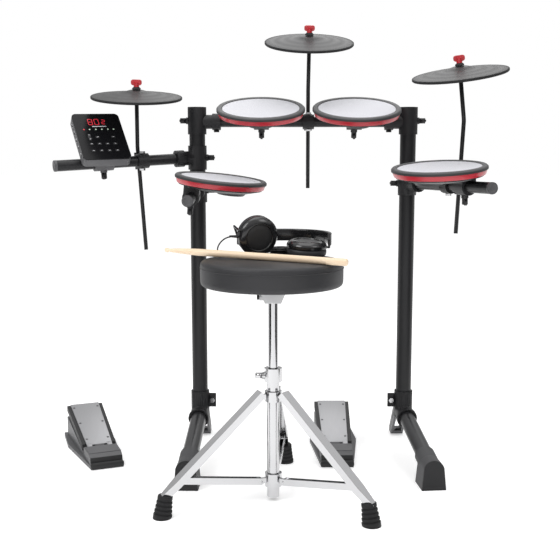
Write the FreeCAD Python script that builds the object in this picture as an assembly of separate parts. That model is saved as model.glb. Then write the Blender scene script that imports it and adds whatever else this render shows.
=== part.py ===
import FreeCAD, Part
import math
import os

from FreeCAD import Placement, Rotation, Vector

# Electronic drum kit with its throne, pedals, headphones and stick, in millimetres.
# Z is up and the player sits on the -Y side. Places are written from the middle of the
# rack at floor level. At the end all pieces move together, so that the origin becomes
# the bottom centre of the whole kit.

# Rack tubes
POST_DIAMETER = 38.1
BAR_DIAMETER = 25.4
TUBE_WALL = 1.6
POST_SPACING = 512.0
POST_BOTTOM = 96.0
CROSSBAR_HEIGHT = 817.0
POST_ABOVE_CROSSBAR = 31.0

# Plastic tees that join the bars to the posts
SLEEVE_WALL = 3.4
SOCKET_WALL = 4.2
SOCKET_LENGTH = 38.0
SOCKET_FLOOR = 6.0
SOCKET_LIP = 3.0
SOCKET_LIP_LENGTH = 20.0
TOP_TEE_HEIGHT = 61.0
TEE_HEIGHT = 58.0
CAP_THICKNESS = 4.0
BOLT_BOSS_RADIUS = 8.0
BOLT_BOSS_HEIGHT = 4.0
RUNNING_CLEARANCE = 0.05
BOLT_CLEARANCE = 0.3

# Three arms: drop below the crossbar, for the snare's arm below the left arm, length
# from the post's axis, turn to the right of straight forward, and droop, both in degrees
LEFT_ARM_DROP = 86.0
LEFT_ARM_REACH = 351.0
LEFT_ARM_TURN = -62.9
LEFT_ARM_DROOP = 3.0
SNARE_ARM_DROP = 79.0
SNARE_ARM_REACH = 262.0
SNARE_ARM_TURN = 0.0
SNARE_ARM_DROOP = 3.0
RIGHT_ARM_DROP = 148.0
RIGHT_ARM_REACH = 359.0
RIGHT_ARM_TURN = 21.9
RIGHT_ARM_DROOP = 0.0
END_CAP_THICKNESS = 5.0
END_CAP_SPIGOT = 12.0

# Wing bolts and hex bolts
BOLT_RADIUS = 3.0
WING_HUB_RADIUS = 6.5
WING_HUB_HEIGHT = 9.0
WING_SPAN = 27.0
WING_THICKNESS = 5.0
WING_HEIGHT = 13.0
WING_CORNER = 5.0
HEX_HEAD_RADIUS = 6.5
HEX_HEAD_HEIGHT = 5.0

# Feet of the rack
BASE_SLEEVE_WALL = 3.6
BASE_SLEEVE_TOP = 150.0
ELBOW_HEIGHT = 98.0
ELBOW_BOTTOM = 84.0
LEG_DIAMETER = 38.1
LEG_LENGTH = 300.0
LEG_SOCKET_LENGTH = 46.0
LEG_DROP_ANGLE = 11.5
LEFT_LEG_SPLAY = -1.5
RIGHT_LEG_SPLAY = 5.8
COLLAR_LENGTH = 8.0
COLLAR_STEP = 2.6
BOOT_WIDTH = 55.0
BOOT_SHOULDER_WIDTH = 46.0
BOOT_SHOULDER_HEIGHT = 45.0
BOOT_LENGTH = 62.0
BOOT_WALL = 4.0
BOOT_CUFF_LENGTH = 26.0
BOOT_NOSE = 12.0
REAR_FOOT_REACH = 151.0
REAR_FOOT_WIDTH = 32.0
REAR_FOOT_WEB = 6.0
REAR_FOOT_HEIGHT = 12.0
REAR_FOOT_RIB = 11.0
FLANGE_WIDTH = 24.0
FLANGE_HEIGHT = 34.0
FLANGE_THICKNESS = 7.0

# Drum pads: radii, then heights below the face
RIM_RADIUS = 104.0
HEAD_RADIUS = 90.5
HEAD_LEDGE = 2.5
HEAD_THICKNESS = 1.0
HEAD_RECESS = 2.0
RIM_DEPTH = 8.0
RIM_BEVEL = 3.0
HOOP_TOP_RADIUS = 102.0
HOOP_BOTTOM_RADIUS = 98.5
HOOP_DEPTH = 19.0
SHELL_EDGE_RADIUS = 95.0
SHELL_FLOOR_RADIUS = 72.0
SHELL_EDGE = 2.5
SHELL_DEPTH = 28.0
SHELL_WALL = 4.0
SHELL_RIM_GAP = 3.0
SENSOR_RADIUS = 15.0
SENSOR_GAP = 0.5
BULGE_RADIUS = 38.0
BULGE_TOP_RADIUS = 30.0
BULGE_DEPTH = 9.0
BULGE_OFFSET = 25.0
MOUNT_OFFSET = 63.0
MOUNT_DROP = 52.0
MOUNT_WIDTH = 36.0
MOUNT_WALL = 6.5
MOUNT_LUG = 6.0
NECK_STEP = 3.0
LEFT_TOM_X = -100.0
RIGHT_TOM_X = 125.0
TOM_TILT = 17.0
SNARE_ALONG_ARM = 171.0
SNARE_TILT = 3.7
SNARE_LEAN = 6.2
FLOOR_TOM_ALONG_ARM = 253.0
FLOOR_TOM_TILT = 6.6
FLOOR_TOM_LEAN = -3.4

# Cymbals and their rods: heights are from the bar or arm that carries the rod
CYMBAL_RADIUS = 106.0
CYMBAL_DROP = 10.0
CYMBAL_EDGE = 2.5
CYMBAL_THICKNESS = 5.0
BELL_RADIUS = 20.0
BELL_SHOULDER_RADIUS = 27.0
BELL_HEIGHT = 5.0
CYMBAL_BORE_CLEARANCE = 0.7
CYMBAL_SEAT_GAP = 0.8
TRIGGER_RADIUS = 17.0
TRIGGER_DEPTH = 9.0
TRIGGER_OFFSET = 46.0
ROD_DIAMETER = 9.5
ROD_OFFSET = 28.0
ROD_BEND_RADIUS = 40.0
ROD_TOP = 24.0
FELT_RADIUS = 10.0
FELT_HEIGHT = 7.0
FELT_SLOPE = 8.0
CUP_RADIUS = 8.0
CUP_HEIGHT = 9.0
NUT_RADIUS = 6.5
NUT_HEIGHT = 10.0
NUT_SPAN = 25.0
CENTRE_ROD_X = 13.7
CENTRE_ROD_TAIL = 161.0
CENTRE_ROD_KNEE = 78.0
CENTRE_CYMBAL_X = 15.0
CENTRE_CYMBAL_Y = -9.0
CENTRE_CYMBAL_RISE = 195.0
LEFT_ROD_ALONG_ARM = 140.6
LEFT_ROD_TAIL = 221.0
LEFT_ROD_KNEE = 24.0
LEFT_ROD_LEAN = -3.76
LEFT_CYMBAL_X = -391.9
LEFT_CYMBAL_Y = -63.0
LEFT_CYMBAL_RISE = 150.1
RIGHT_ROD_ALONG_ARM = 187.5
RIGHT_ROD_TAIL = 109.0
RIGHT_ROD_KNEE = 146.0
RIGHT_ROD_LEAN = 2.69
RIGHT_CYMBAL_X = 342.8
RIGHT_CYMBAL_Y = -185.0
RIGHT_CYMBAL_RISE = 255.5
CLAMP_WIDTH = 27.0
CLAMP_WALL = 5.0
CLAMP_BOSS_RADIUS = 9.5
CLAMP_BOSS_HEIGHT = 40.0
CLAMP_WEB_HEIGHT = 24.0

# Sound module
MODULE_WIDTH = 112.0
MODULE_LENGTH = 148.0
MODULE_DEPTH = 24.0
MODULE_CORNER = 11.0
PANEL_THICKNESS = 3.0
MODULE_TILT = 45.0
MODULE_ALONG_ARM = 236.0
MODULE_ARM_FROM_MIDDLE = 48.0
MODULE_ARM_DEPTH = 41.0
MODULE_CLAMP_WIDTH = 44.0
MODULE_CLAMP_WALL = 5.0
KEY_WIDTH = 9.0
KEY_HEIGHT = 6.0
KEY_PROUD = 1.0
KEY_TRAVEL = 0.6
KEY_DEPTH = 4.5
KEY_CLEARANCE = 0.3
KEY_FLOOR_GAP = 0.3
KEY_PITCH = 18.5
VOLUME_KEY_WIDTH = 7.0
VOLUME_KEY_LENGTH = 20.0
SIDE_KEY_ROW = -4.0
UPPER_KEY_ROW = -26.0
LOWER_KEY_ROW = -48.0
JACK_RADIUS = 3.2
JACK_DEPTH = 14.0
JACK_PITCH = 24.0
JACK_COUNT = 5

# Foot pedals
PEDAL_HEEL_WIDTH = 77.0
PEDAL_TOE_WIDTH = 92.0
PEDAL_LENGTH = 300.0
PEDAL_SKIRT_WIDTH = 120.0
PEDAL_SKIRT_AT = 195.0
PEDAL_SKIRT_TOE_WIDTH = 104.0
PEDAL_FLOOR = 9.0
HEEL_LENGTH = 84.0
HEEL_RISE = 15.0
HEEL_HEIGHT = 31.0
HINGE_FROM_HEEL = 93.0
HINGE_HEIGHT = 27.0
PIN_RADIUS = 3.0
PIN_LENGTH = 62.0
BARREL_RADIUS = 6.0
BARREL_LENGTH = 10.0
KNUCKLE_LENGTH = 22.0
SPRING_RADIUS = 5.0
FOOTBOARD_START = 101.0
FOOTBOARD_LENGTH = 190.0
FOOTBOARD_SLOPE = 15.5
FOOTBOARD_DEPTH = 13.0
FOOTBOARD_MARGIN = 2.5
PLATE_THICKNESS = 2.0
PEDAL_PRESS = 4.0
PEDAL_STOP_GAP = 0.5
LEFT_PEDAL_X = -464.0
LEFT_PEDAL_Y = -158.0
LEFT_PEDAL_TURN = 22.3
RIGHT_PEDAL_X = 82.0
RIGHT_PEDAL_Y = -150.0
RIGHT_PEDAL_TURN = 0.0

# Throne
THRONE_X = -69.5
THRONE_Y = -355.0
THRONE_TURN = 5.98
THRONE_LEG_COUNT = 3
COLUMN_DIAMETER = 27.0
COLUMN_WALL = 1.6
COLUMN_BOTTOM = 8.0
COLUMN_TOP = 286.0
SEAT_TUBE_DIAMETER = 22.0
SEAT_TUBE_WALL = 1.6
SEAT_TUBE_BOTTOM = 150.0
SEAT_TUBE_TOP = 440.0
HEIGHT_HOLE_RADIUS = 3.2
HEIGHT_HOLE_PITCH = 28.4
HEIGHT_HOLE_COUNT = 6
HEIGHT_HOLE_LOWEST = 262.0
CLAMP_COLLAR_RADIUS = 19.0
CLAMP_COLLAR_HEIGHT = 24.0
CLAMP_COLLAR_LID = 5.0
UPPER_HUB_HEIGHT = 230.0
UPPER_HUB_LENGTH = 22.0
LOWER_HUB_HEIGHT = 46.0
LOWER_HUB_LENGTH = 29.0
HUB_WALL = 5.0
EAR_THICKNESS = 8.0
EAR_RADIUS = 5.5
EAR_CLEARANCE = 0.2
LEG_PIVOT_OUT = 31.0
FOOT_OUT = 254.0
FOOT_PIVOT_HEIGHT = 30.0
LEG_CHANNEL_WIDTH = 25.0
LEG_CHANNEL_DEPTH = 15.0
LEG_PIVOT_INSET = 3.0
LEG_CHANNEL_WALL = 2.0
LEG_CHANNEL_LEAD = 9.0
BRACE_ALONG_LEG = 235.0
BRACE_WIDTH = 14.0
BRACE_THICKNESS = 3.0
RIVET_RADIUS = 3.2
FOOT_RADIUS = 21.0
FOOT_TOP_RADIUS = 15.0
FOOT_HEIGHT = 46.0
FOOT_RIB = 2.2
FOOT_RIB_COUNT = 4
SEAT_RADIUS = 150.0
SEAT_BOTTOM = 471.0
SEAT_HEIGHT = 47.0
SEAT_CROWN = 6.0
SEAT_SIDE_BULGE = 2.0
SEAT_CORNER = 10.0
SEAT_BOARD_RADIUS = 139.0
BRACKET_TOP_WIDTH = 64.0
BRACKET_BOTTOM_WIDTH = 34.0
BRACKET_PLATE = 4.0
BRACKET_PLATE_LENGTH = 128.0
BRACKET_PLATE_WIDTH = 96.0
BRACKET_BOSS_REACH = 29.0
BRACKET_BOTTOM = 431.0
BRACKET_BORE_CLEARANCE = 0.05

# Stick that lies on the seat
STICK_RADIUS = 7.2
STICK_LENGTH = 406.0
STICK_NECK_RADIUS = 3.2
STICK_TIP_RADIUS = 4.8
STICK_TAPER = 70.0
STICK_BUTT_X = 79.0
STICK_BUTT_Y = -458.0
STICK_HEADING = Vector(-385.0, 176.0, 0)
REST_GAP = 0.3

# Headphones
BAND_RADIUS = 98.0
BAND_THICKNESS = 7.0
BAND_WIDTH = 27.0
BAND_X = -46.0
BAND_Y = -304.0
BAND_RISE = 37.0
BAND_LEFT_END = 88.0
BAND_RIGHT_END = 104.0
CUP_SHELL_RADIUS = 43.0
CUP_SHELL_DEPTH = 20.0
CUP_FACE_RADIUS = 28.0
EAR_PAD_RADIUS = 44.0
EAR_PAD_HOLE = 24.0
EAR_PAD_DEPTH = 17.0
EAR_PAD_SWELL = 3.0
LEFT_CUP_X = -103.0
LEFT_CUP_Y = -316.0
LEFT_CUP_FACING = Vector(0.34, -0.90, -0.20)
RIGHT_CUP_X = 2.0
RIGHT_CUP_Y = -306.0
RIGHT_CUP_FACING = Vector(0.05, -0.06, 1.0)
PIVOT_RADIUS = 4.0
PIVOT_GAP = 0.3
PIVOT_DEPTH = 6.0
HANGER_REACH = 51.0
HANGER_SET_BACK = 26.0
LEFT_PIVOT_LIFT = 40.0
LEFT_CUP_SWING_GAP = 1.5

# Headphone cord: diameter, where it leaves the left cup, coil and plug
CORD_DIAMETER = 3.0
CORD_EXIT = Vector(-43.0, -17.0, 0.0)
COIL_INNER_RADIUS = 11.5
COIL_PITCH = 4.1
COIL_LOOPS_PER_LAYER = 3
COIL_LAYERS = 4
COIL_START = 3
COIL_X = -56.0
COIL_Y = -256.0
COIL_TAIL = 30.0
PLUG_RADIUS = 4.5
PLUG_LENGTH = 18.0
PLUG_PIN_RADIUS = 1.75
PLUG_PIN_LENGTH = 14.0

POST_RADIUS = POST_DIAMETER / 2
BAR_RADIUS = BAR_DIAMETER / 2
ROD_RADIUS = ROD_DIAMETER / 2
SLEEVE_RADIUS = POST_RADIUS + SLEEVE_WALL
POST_TOP = CROSSBAR_HEIGHT + POST_ABOVE_CROSSBAR
SOCKET_RADIUS = BAR_RADIUS + SOCKET_WALL
UP = Vector(0, 0, 1)
ORIGIN = Vector(0, 0, 0)
LEFT_POST = Vector(-POST_SPACING / 2, 0, 0)
RIGHT_POST = Vector(POST_SPACING / 2, 0, 0)
THRONE = Vector(THRONE_X, THRONE_Y, 0)
LEFT_ARM_HEIGHT = CROSSBAR_HEIGHT - LEFT_ARM_DROP
SNARE_ARM_HEIGHT = LEFT_ARM_HEIGHT - SNARE_ARM_DROP
RIGHT_ARM_HEIGHT = CROSSBAR_HEIGHT - RIGHT_ARM_DROP
CENTRE_CYMBAL = Vector(CENTRE_CYMBAL_X, CENTRE_CYMBAL_Y, CROSSBAR_HEIGHT + CENTRE_CYMBAL_RISE)
LEFT_CYMBAL = Vector(LEFT_CYMBAL_X, LEFT_CYMBAL_Y, LEFT_ARM_HEIGHT + LEFT_CYMBAL_RISE)
RIGHT_CYMBAL = Vector(RIGHT_CYMBAL_X, RIGHT_CYMBAL_Y, RIGHT_ARM_HEIGHT + RIGHT_CYMBAL_RISE)
LEFT_PEDAL_HEEL = Vector(LEFT_PEDAL_X, LEFT_PEDAL_Y, 0)
RIGHT_PEDAL_HEEL = Vector(RIGHT_PEDAL_X, RIGHT_PEDAL_Y, 0)
STICK_BUTT = Vector(STICK_BUTT_X, STICK_BUTT_Y, 0)
COIL_CENTRE = Vector(COIL_X, COIL_Y, 0)
SEAT_TOP = SEAT_BOTTOM + SEAT_HEIGHT + SEAT_CROWN
BAND_CENTRE = Vector(BAND_X, BAND_Y, SEAT_TOP + BAND_RISE)


def sine(angle):
    return math.sin(math.radians(angle))


def cosine(angle):
    return math.cos(math.radians(angle))


def tangent(angle):
    return math.tan(math.radians(angle))


def unit(vector):
    return vector / vector.Length


def heading(turn, droop=0.0):
    """Direction to the player, turned to the right and drooping, in degrees."""
    return Vector(cosine(droop) * sine(turn), -cosine(droop) * cosine(turn), -sine(droop))


def leaning(to_player, to_right):
    """Unit vector that leans from straight up, in degrees."""
    forward = sine(to_player)
    side = sine(to_right)
    return Vector(side, -forward, math.sqrt(1 - forward ** 2 - side ** 2))


def frame(origin, y_hint, z_axis):
    """Placement with the given Z axis and Y as near the hint as can be."""
    z = unit(z_axis)
    y = unit(y_hint - z * y_hint.dot(z))
    return Placement(origin, Rotation(y.cross(z), y, z, "ZXY"))


def moved(shape, placement):
    copy = shape.copy()
    copy.Placement = placement.multiply(copy.Placement)
    return copy


def rod(radius, start, end):
    """Round bar between two points."""
    axis = end - start
    return Part.makeCylinder(radius, axis.Length, start, axis)


def tube(diameter, wall, start, end):
    """Round tube between two points."""
    return rod(diameter / 2, start, end).cut(rod(diameter / 2 - wall, start, end))


def turned(profile):
    """Solid of revolution about Z from radius and height pairs."""
    points = [Vector(radius, 0, height) for radius, height in profile]
    face = Part.Face(Part.makePolygon(points + points[:1]))
    return face.revolve(ORIGIN, UP, 360)


def prism(points, depth):
    """Flat outline pushed along a vector."""
    return Part.Face(Part.makePolygon(points + points[:1])).extrude(depth)


def block(width, length, bottom, top, x=0.0, y=0.0):
    """Upright box about a point of the XY plane."""
    corner = Vector(x - width / 2, y - length / 2, bottom)
    return Part.makeBox(width, length, top - bottom, corner)


def rounded_block(width, length, corner, bottom, top, x=0.0, y=0.0):
    """Upright box with rounded upright edges."""
    box = block(width, length, bottom, top, x, y)
    upright = [edge for edge in box.Edges if abs(edge.tangentAt(edge.FirstParameter).z) > 0.9]
    return box.makeFillet(corner, upright)


def wing_bolt(seat, outward, shank):
    """Bolt with a winged head: its seat, the way it points and its shank length."""
    wings = block(WING_SPAN, WING_THICKNESS, WING_HUB_HEIGHT - WING_HEIGHT / 2,
                  WING_HUB_HEIGHT + WING_HEIGHT / 2)
    across = [edge for edge in wings.Edges if abs(edge.tangentAt(edge.FirstParameter).y) > 0.9]
    wings = wings.makeFillet(WING_CORNER, across)
    hub = Part.makeCylinder(WING_HUB_RADIUS, WING_HUB_HEIGHT + WING_CORNER)
    stem = Part.makeCylinder(BOLT_RADIUS, shank + WING_HUB_HEIGHT, Vector(0, 0, -shank))
    side = Vector(0, 0, 1) if abs(outward.z) < 0.9 else Vector(1, 0, 0)
    return moved(hub.fuse([wings, stem]), frame(seat, side, outward))


def hex_bolt(seat, outward, shank):
    """Bolt with a six-sided head."""
    corners = [Vector(cosine(60 * k), sine(60 * k), 0) * HEX_HEAD_RADIUS for k in range(6)]
    head = prism(corners, Vector(0, 0, HEX_HEAD_HEIGHT))
    stem = Part.makeCylinder(BOLT_RADIUS, shank + HEX_HEAD_HEIGHT / 2, Vector(0, 0, -shank))
    side = Vector(0, 0, 1) if abs(outward.z) < 0.9 else Vector(0, 1, 0)
    return moved(head.fuse(stem), frame(seat, side, outward))


# Tees


def tee(post, bottom, top, socket_height, direction, bolt_way, clearance, closed):
    """Sleeve round a post with a socket for a bar, and the wing bolt that locks it."""
    base = post + UP * bottom
    centre = post + UP * socket_height
    mouth = centre + direction * (POST_RADIUS + SOCKET_LENGTH)
    lip_start = mouth - direction * SOCKET_LIP_LENGTH
    boss_centre = post + UP * (bottom + top) / 2
    boss_seat = boss_centre + bolt_way * (SLEEVE_RADIUS + BOLT_BOSS_HEIGHT)
    body = Part.makeCylinder(SLEEVE_RADIUS, top - bottom, base)
    socket = rod(SOCKET_RADIUS, centre, mouth)
    lip = rod(SOCKET_RADIUS + SOCKET_LIP, lip_start, mouth)
    boss = rod(BOLT_BOSS_RADIUS, boss_centre, boss_seat)
    body = body.fuse([socket, lip, boss])
    bore_top = top - CAP_THICKNESS if closed else top
    body = body.cut(Part.makeCylinder(POST_RADIUS + clearance, bore_top - bottom, base))
    body = body.cut(rod(BAR_RADIUS, centre + direction * (POST_RADIUS + SOCKET_FLOOR), mouth))
    shank = SLEEVE_RADIUS + BOLT_BOSS_HEIGHT - POST_RADIUS - BOLT_CLEARANCE
    body = body.cut(rod(BOLT_RADIUS, boss_centre + bolt_way * POST_RADIUS, boss_seat))
    return body.removeSplitter(), wing_bolt(boss_seat, bolt_way, shank)


def arm(post, height, reach, direction):
    """Arm tube with the plug in its free end."""
    centre = post + UP * height
    start = centre + direction * (POST_RADIUS + SOCKET_FLOOR)
    end = centre + direction * (reach - END_CAP_THICKNESS)
    disc = rod(BAR_RADIUS, end, end + direction * END_CAP_THICKNESS)
    spigot = rod(BAR_RADIUS - TUBE_WALL, end - direction * END_CAP_SPIGOT, end)
    return [tube(BAR_DIAMETER, TUBE_WALL, start, end), disc.fuse(spigot)]


LEFT_ARM = heading(LEFT_ARM_TURN, LEFT_ARM_DROOP)
SNARE_ARM = heading(SNARE_ARM_TURN, SNARE_ARM_DROOP)
RIGHT_ARM = heading(RIGHT_ARM_TURN, RIGHT_ARM_DROOP)
RIGHT_WAY = Vector(1, 0, 0)
BACK_WAY = Vector(0, 1, 0)


def arm_point(post, height, direction, along):
    return post + UP * height + direction * along


def make_posts():
    return [tube(POST_DIAMETER, TUBE_WALL, post + UP * POST_BOTTOM, post + UP * POST_TOP)
            for post in (LEFT_POST, RIGHT_POST)]


def make_crossbar():
    inset = RIGHT_WAY * (POST_RADIUS + SOCKET_FLOOR)
    height = UP * CROSSBAR_HEIGHT
    return [tube(BAR_DIAMETER, TUBE_WALL, LEFT_POST + inset + height, RIGHT_POST - inset + height)]


def make_top_tees():
    """Closed tees on top of the posts, with their locking bolts."""
    bottom = POST_TOP - TOP_TEE_HEIGHT
    top = POST_TOP + CAP_THICKNESS
    left, left_bolt = tee(LEFT_POST, bottom, top, CROSSBAR_HEIGHT, RIGHT_WAY, -RIGHT_WAY, 0, True)
    right, right_bolt = tee(RIGHT_POST, bottom, top, CROSSBAR_HEIGHT, -RIGHT_WAY, RIGHT_WAY, 0, True)
    screws = []
    tees = []
    for body, post, way in ((left, LEFT_POST, RIGHT_WAY), (right, RIGHT_POST, -RIGHT_WAY)):
        axis = post + UP * CROSSBAR_HEIGHT + way * (POST_RADIUS + SOCKET_LENGTH - SOCKET_LIP_LENGTH / 2)
        seat = axis - UP * (SOCKET_RADIUS + SOCKET_LIP)
        depth = SOCKET_WALL + SOCKET_LIP - BOLT_CLEARANCE
        tees.append(body.cut(rod(BOLT_RADIUS, axis, seat - UP)))
        screws.append(hex_bolt(seat, -UP, depth))
    return tees, [left_bolt, right_bolt] + screws


def make_arm_tees():
    """Tees that swing on the posts, each with its wing bolt."""
    half = TEE_HEIGHT / 2
    made = []
    for post, height, direction, way in (
            (LEFT_POST, LEFT_ARM_HEIGHT, LEFT_ARM, RIGHT_WAY),
            (LEFT_POST, SNARE_ARM_HEIGHT, SNARE_ARM, RIGHT_WAY),
            (RIGHT_POST, RIGHT_ARM_HEIGHT, RIGHT_ARM, -RIGHT_WAY)):
        body, bolt = tee(post, height - half, height + half, height, direction, way,
                         RUNNING_CLEARANCE, False)
        made.append([body, bolt])
    return made


# Feet of the rack


def leg_direction(splay):
    return heading(splay, LEG_DROP_ANGLE)


def make_base(post, splay, inward):
    """Elbow that joins post and leg, with the bracket of the rear foot and its bolt."""
    direction = leg_direction(splay)
    centre = post + UP * ELBOW_HEIGHT
    radius = POST_RADIUS + BASE_SLEEVE_WALL
    mouth = centre + direction * LEG_SOCKET_LENGTH
    sleeve = rod(radius, post + UP * ELBOW_BOTTOM, post + UP * BASE_SLEEVE_TOP)
    socket = rod(radius, centre, mouth)
    collar = rod(radius + COLLAR_STEP, mouth - direction * COLLAR_LENGTH, mouth)
    knuckle = Part.makeSphere(radius, centre)
    flange_place = post + inward * (radius + FLANGE_WIDTH / 2 - FLANGE_THICKNESS)
    flange_middle = BASE_SLEEVE_TOP - FLANGE_HEIGHT / 2 - COLLAR_LENGTH
    flange = block(FLANGE_WIDTH, FLANGE_THICKNESS, flange_middle - FLANGE_HEIGHT / 2,
                   flange_middle + FLANGE_HEIGHT / 2, flange_place.x, flange_place.y)
    elbow = sleeve.fuse([socket, collar, knuckle, flange])
    elbow = elbow.cut(rod(POST_RADIUS, post + UP * POST_BOTTOM, post + UP * BASE_SLEEVE_TOP))
    elbow = elbow.cut(rod(LEG_DIAMETER / 2, centre + direction * (POST_RADIUS + SOCKET_FLOOR), mouth))
    bolt_seat = flange_place + UP * flange_middle - BACK_WAY * FLANGE_THICKNESS / 2 + inward * 3
    bolt = hex_bolt(bolt_seat, -BACK_WAY, FLANGE_THICKNESS)
    elbow = elbow.cut(rod(BOLT_RADIUS, bolt_seat, bolt_seat + BACK_WAY * FLANGE_THICKNESS))
    return elbow.removeSplitter(), bolt, make_rear_foot(post, radius)


def make_rear_foot(post, sleeve_radius):
    """Short rear foot: two ribs with a triangular window, joined by a tread."""
    near = sleeve_radius - BASE_SLEEVE_WALL
    rib_top = BASE_SLEEVE_TOP - REAR_FOOT_RIB
    rib_low = ELBOW_BOTTOM + REAR_FOOT_RIB / 2
    reach = REAR_FOOT_REACH
    outline = [Vector(0, near, rib_top), Vector(0, near, rib_low), Vector(0, reach - REAR_FOOT_WIDTH, 0),
               Vector(0, reach, 0), Vector(0, reach, REAR_FOOT_HEIGHT)]
    rib = REAR_FOOT_RIB
    window = [Vector(0, near + rib, rib_top - 2.4 * rib), Vector(0, near + rib, rib_low + 0.6 * rib),
              Vector(0, reach - REAR_FOOT_WIDTH - 0.4 * rib, REAR_FOOT_HEIGHT + rib)]
    width = Vector(REAR_FOOT_WIDTH, 0, 0)
    solid = prism(outline, width).cut(prism(window, width))
    solid.translate(Vector(-REAR_FOOT_WIDTH / 2, 0, 0))
    slot = block(REAR_FOOT_WIDTH - 2 * REAR_FOOT_WEB, reach, REAR_FOOT_HEIGHT, BASE_SLEEVE_TOP,
                 0, reach / 2 + near + rib)
    foot = solid.cut(slot)
    foot.translate(post)
    return foot.cut(rod(sleeve_radius, post, post + UP * BASE_SLEEVE_TOP))


def make_leg(post, splay):
    """Front leg tube and the rubber boot that it stands in."""
    direction = leg_direction(splay)
    centre = post + UP * ELBOW_HEIGHT
    start = centre + direction * (POST_RADIUS + SOCKET_FLOOR)
    end = centre + direction * LEG_LENGTH
    leg = tube(LEG_DIAMETER, TUBE_WALL, start, end)
    half = BOOT_WIDTH / 2
    shoulder = BOOT_SHOULDER_WIDTH / 2
    top = BOOT_SHOULDER_HEIGHT + shoulder
    corners = [Vector(-shoulder, 0, BOOT_SHOULDER_HEIGHT), Vector(-half, 0, 0), Vector(half, 0, 0),
               Vector(shoulder, 0, BOOT_SHOULDER_HEIGHT)]
    sides = [Part.makeLine(first, second) for first, second in zip(corners, corners[1:])]
    arch = Part.Arc(corners[3], Vector(0, 0, top), corners[0]).toShape()
    boot = Part.Face(Part.Wire(sides + [arch])).extrude(Vector(0, BOOT_LENGTH, 0))
    level = unit(Vector(direction.x, direction.y, 0))
    nose = Vector(end.x, end.y, 0) + level * BOOT_NOSE
    boot = moved(boot, frame(nose, -level, UP))
    cuff_radius = LEG_DIAMETER / 2 + BOOT_WALL
    cuff_start = end - direction * (BOOT_LENGTH - BOOT_NOSE + BOOT_CUFF_LENGTH)
    boot = boot.fuse(rod(cuff_radius, cuff_start, end - direction * BOOT_NOSE))
    floor_cut = block(BOOT_LENGTH * 4, BOOT_LENGTH * 4, -BOOT_LENGTH, 0, nose.x, nose.y)
    boot = boot.cut(floor_cut).cut(rod(LEG_DIAMETER / 2, cuff_start, end))
    return leg, boot.removeSplitter()


# Drum pads


def pad_place(bar_point, toward_bar, normal):
    """Frame of a pad: face centre, Y to the side that carries the mount, Z out of the face."""
    y = unit(toward_bar - normal * toward_bar.dot(normal))
    return frame(bar_point - y * MOUNT_OFFSET + normal * MOUNT_DROP, y, normal)


def make_pad(bar_point, bar_way, toward_bar, normal):
    """One pad: shell with sensor and clamp screw, red hoop with rubber rim, mesh head."""
    place = pad_place(bar_point, toward_bar, normal)
    inner = HEAD_RADIUS - HEAD_LEDGE
    seat = -HEAD_RECESS - HEAD_THICKNESS
    cup = turned([(0, -SHELL_DEPTH), (SHELL_FLOOR_RADIUS, -SHELL_DEPTH),
                  (SHELL_EDGE_RADIUS, -HOOP_DEPTH - SHELL_EDGE), (SHELL_EDGE_RADIUS, -HOOP_DEPTH),
                  (inner, -HOOP_DEPTH), (inner, seat - SHELL_RIM_GAP),
                  (inner - SHELL_WALL, seat - SHELL_RIM_GAP),
                  (inner - SHELL_WALL, SHELL_WALL - SHELL_DEPTH), (0, SHELL_WALL - SHELL_DEPTH)])
    bulge = Part.makeCone(BULGE_RADIUS, BULGE_TOP_RADIUS, BULGE_DEPTH,
                          Vector(0, -BULGE_OFFSET, -SHELL_DEPTH), -UP)
    shell = moved(cup.fuse(bulge), place)
    half = bar_way * (MOUNT_WIDTH / 2)
    grip_radius = BAR_RADIUS + MOUNT_WALL
    grip = rod(grip_radius, bar_point - half, bar_point + half)
    lug_seat = bar_point - normal * (grip_radius + MOUNT_LUG)
    lug = rod(BOLT_BOSS_RADIUS, bar_point, lug_seat)
    neck = block(MOUNT_WIDTH, 2 * grip_radius - NECK_STEP, -MOUNT_DROP, SHELL_WALL / 2 - SHELL_DEPTH,
                 0, MOUNT_OFFSET)
    floor = Vector(0, 0, SHELL_WALL - SHELL_DEPTH)
    cavity = Part.makeCylinder(inner - SHELL_WALL, SHELL_DEPTH, floor)
    shell = shell.fuse([grip, lug, moved(neck, place)]).cut(moved(cavity, place))
    shell = shell.cut(rod(BAR_RADIUS + RUNNING_CLEARANCE, bar_point - half * 2, bar_point + half * 2))
    shell = shell.cut(rod(BOLT_RADIUS, bar_point, lug_seat)).removeSplitter()
    sensor = Part.makeCylinder(SENSOR_RADIUS, SHELL_DEPTH - SHELL_WALL + seat - SENSOR_GAP, floor)
    screw = wing_bolt(lug_seat, -normal, MOUNT_LUG + MOUNT_WALL - BOLT_CLEARANCE)
    hoop = turned([(inner, -HOOP_DEPTH), (HOOP_BOTTOM_RADIUS, -HOOP_DEPTH),
                   (HOOP_TOP_RADIUS, -RIM_DEPTH), (inner, -RIM_DEPTH)])
    rim = turned([(inner, -RIM_DEPTH), (RIM_RADIUS, -RIM_DEPTH), (RIM_RADIUS, -RIM_BEVEL),
                  (RIM_RADIUS - RIM_BEVEL, 0), (HEAD_RADIUS + HEAD_RECESS, 0),
                  (HEAD_RADIUS, -HEAD_RECESS), (HEAD_RADIUS, seat), (inner, seat)])
    head = Part.makeCylinder(HEAD_RADIUS, HEAD_THICKNESS, Vector(0, 0, seat))
    hoops = [moved(hoop, place), moved(rim, place)]
    return [shell, moved(sensor, place), screw], hoops, [moved(head, place)]


def tom_bar(x):
    return Vector(x, 0, CROSSBAR_HEIGHT)


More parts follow.
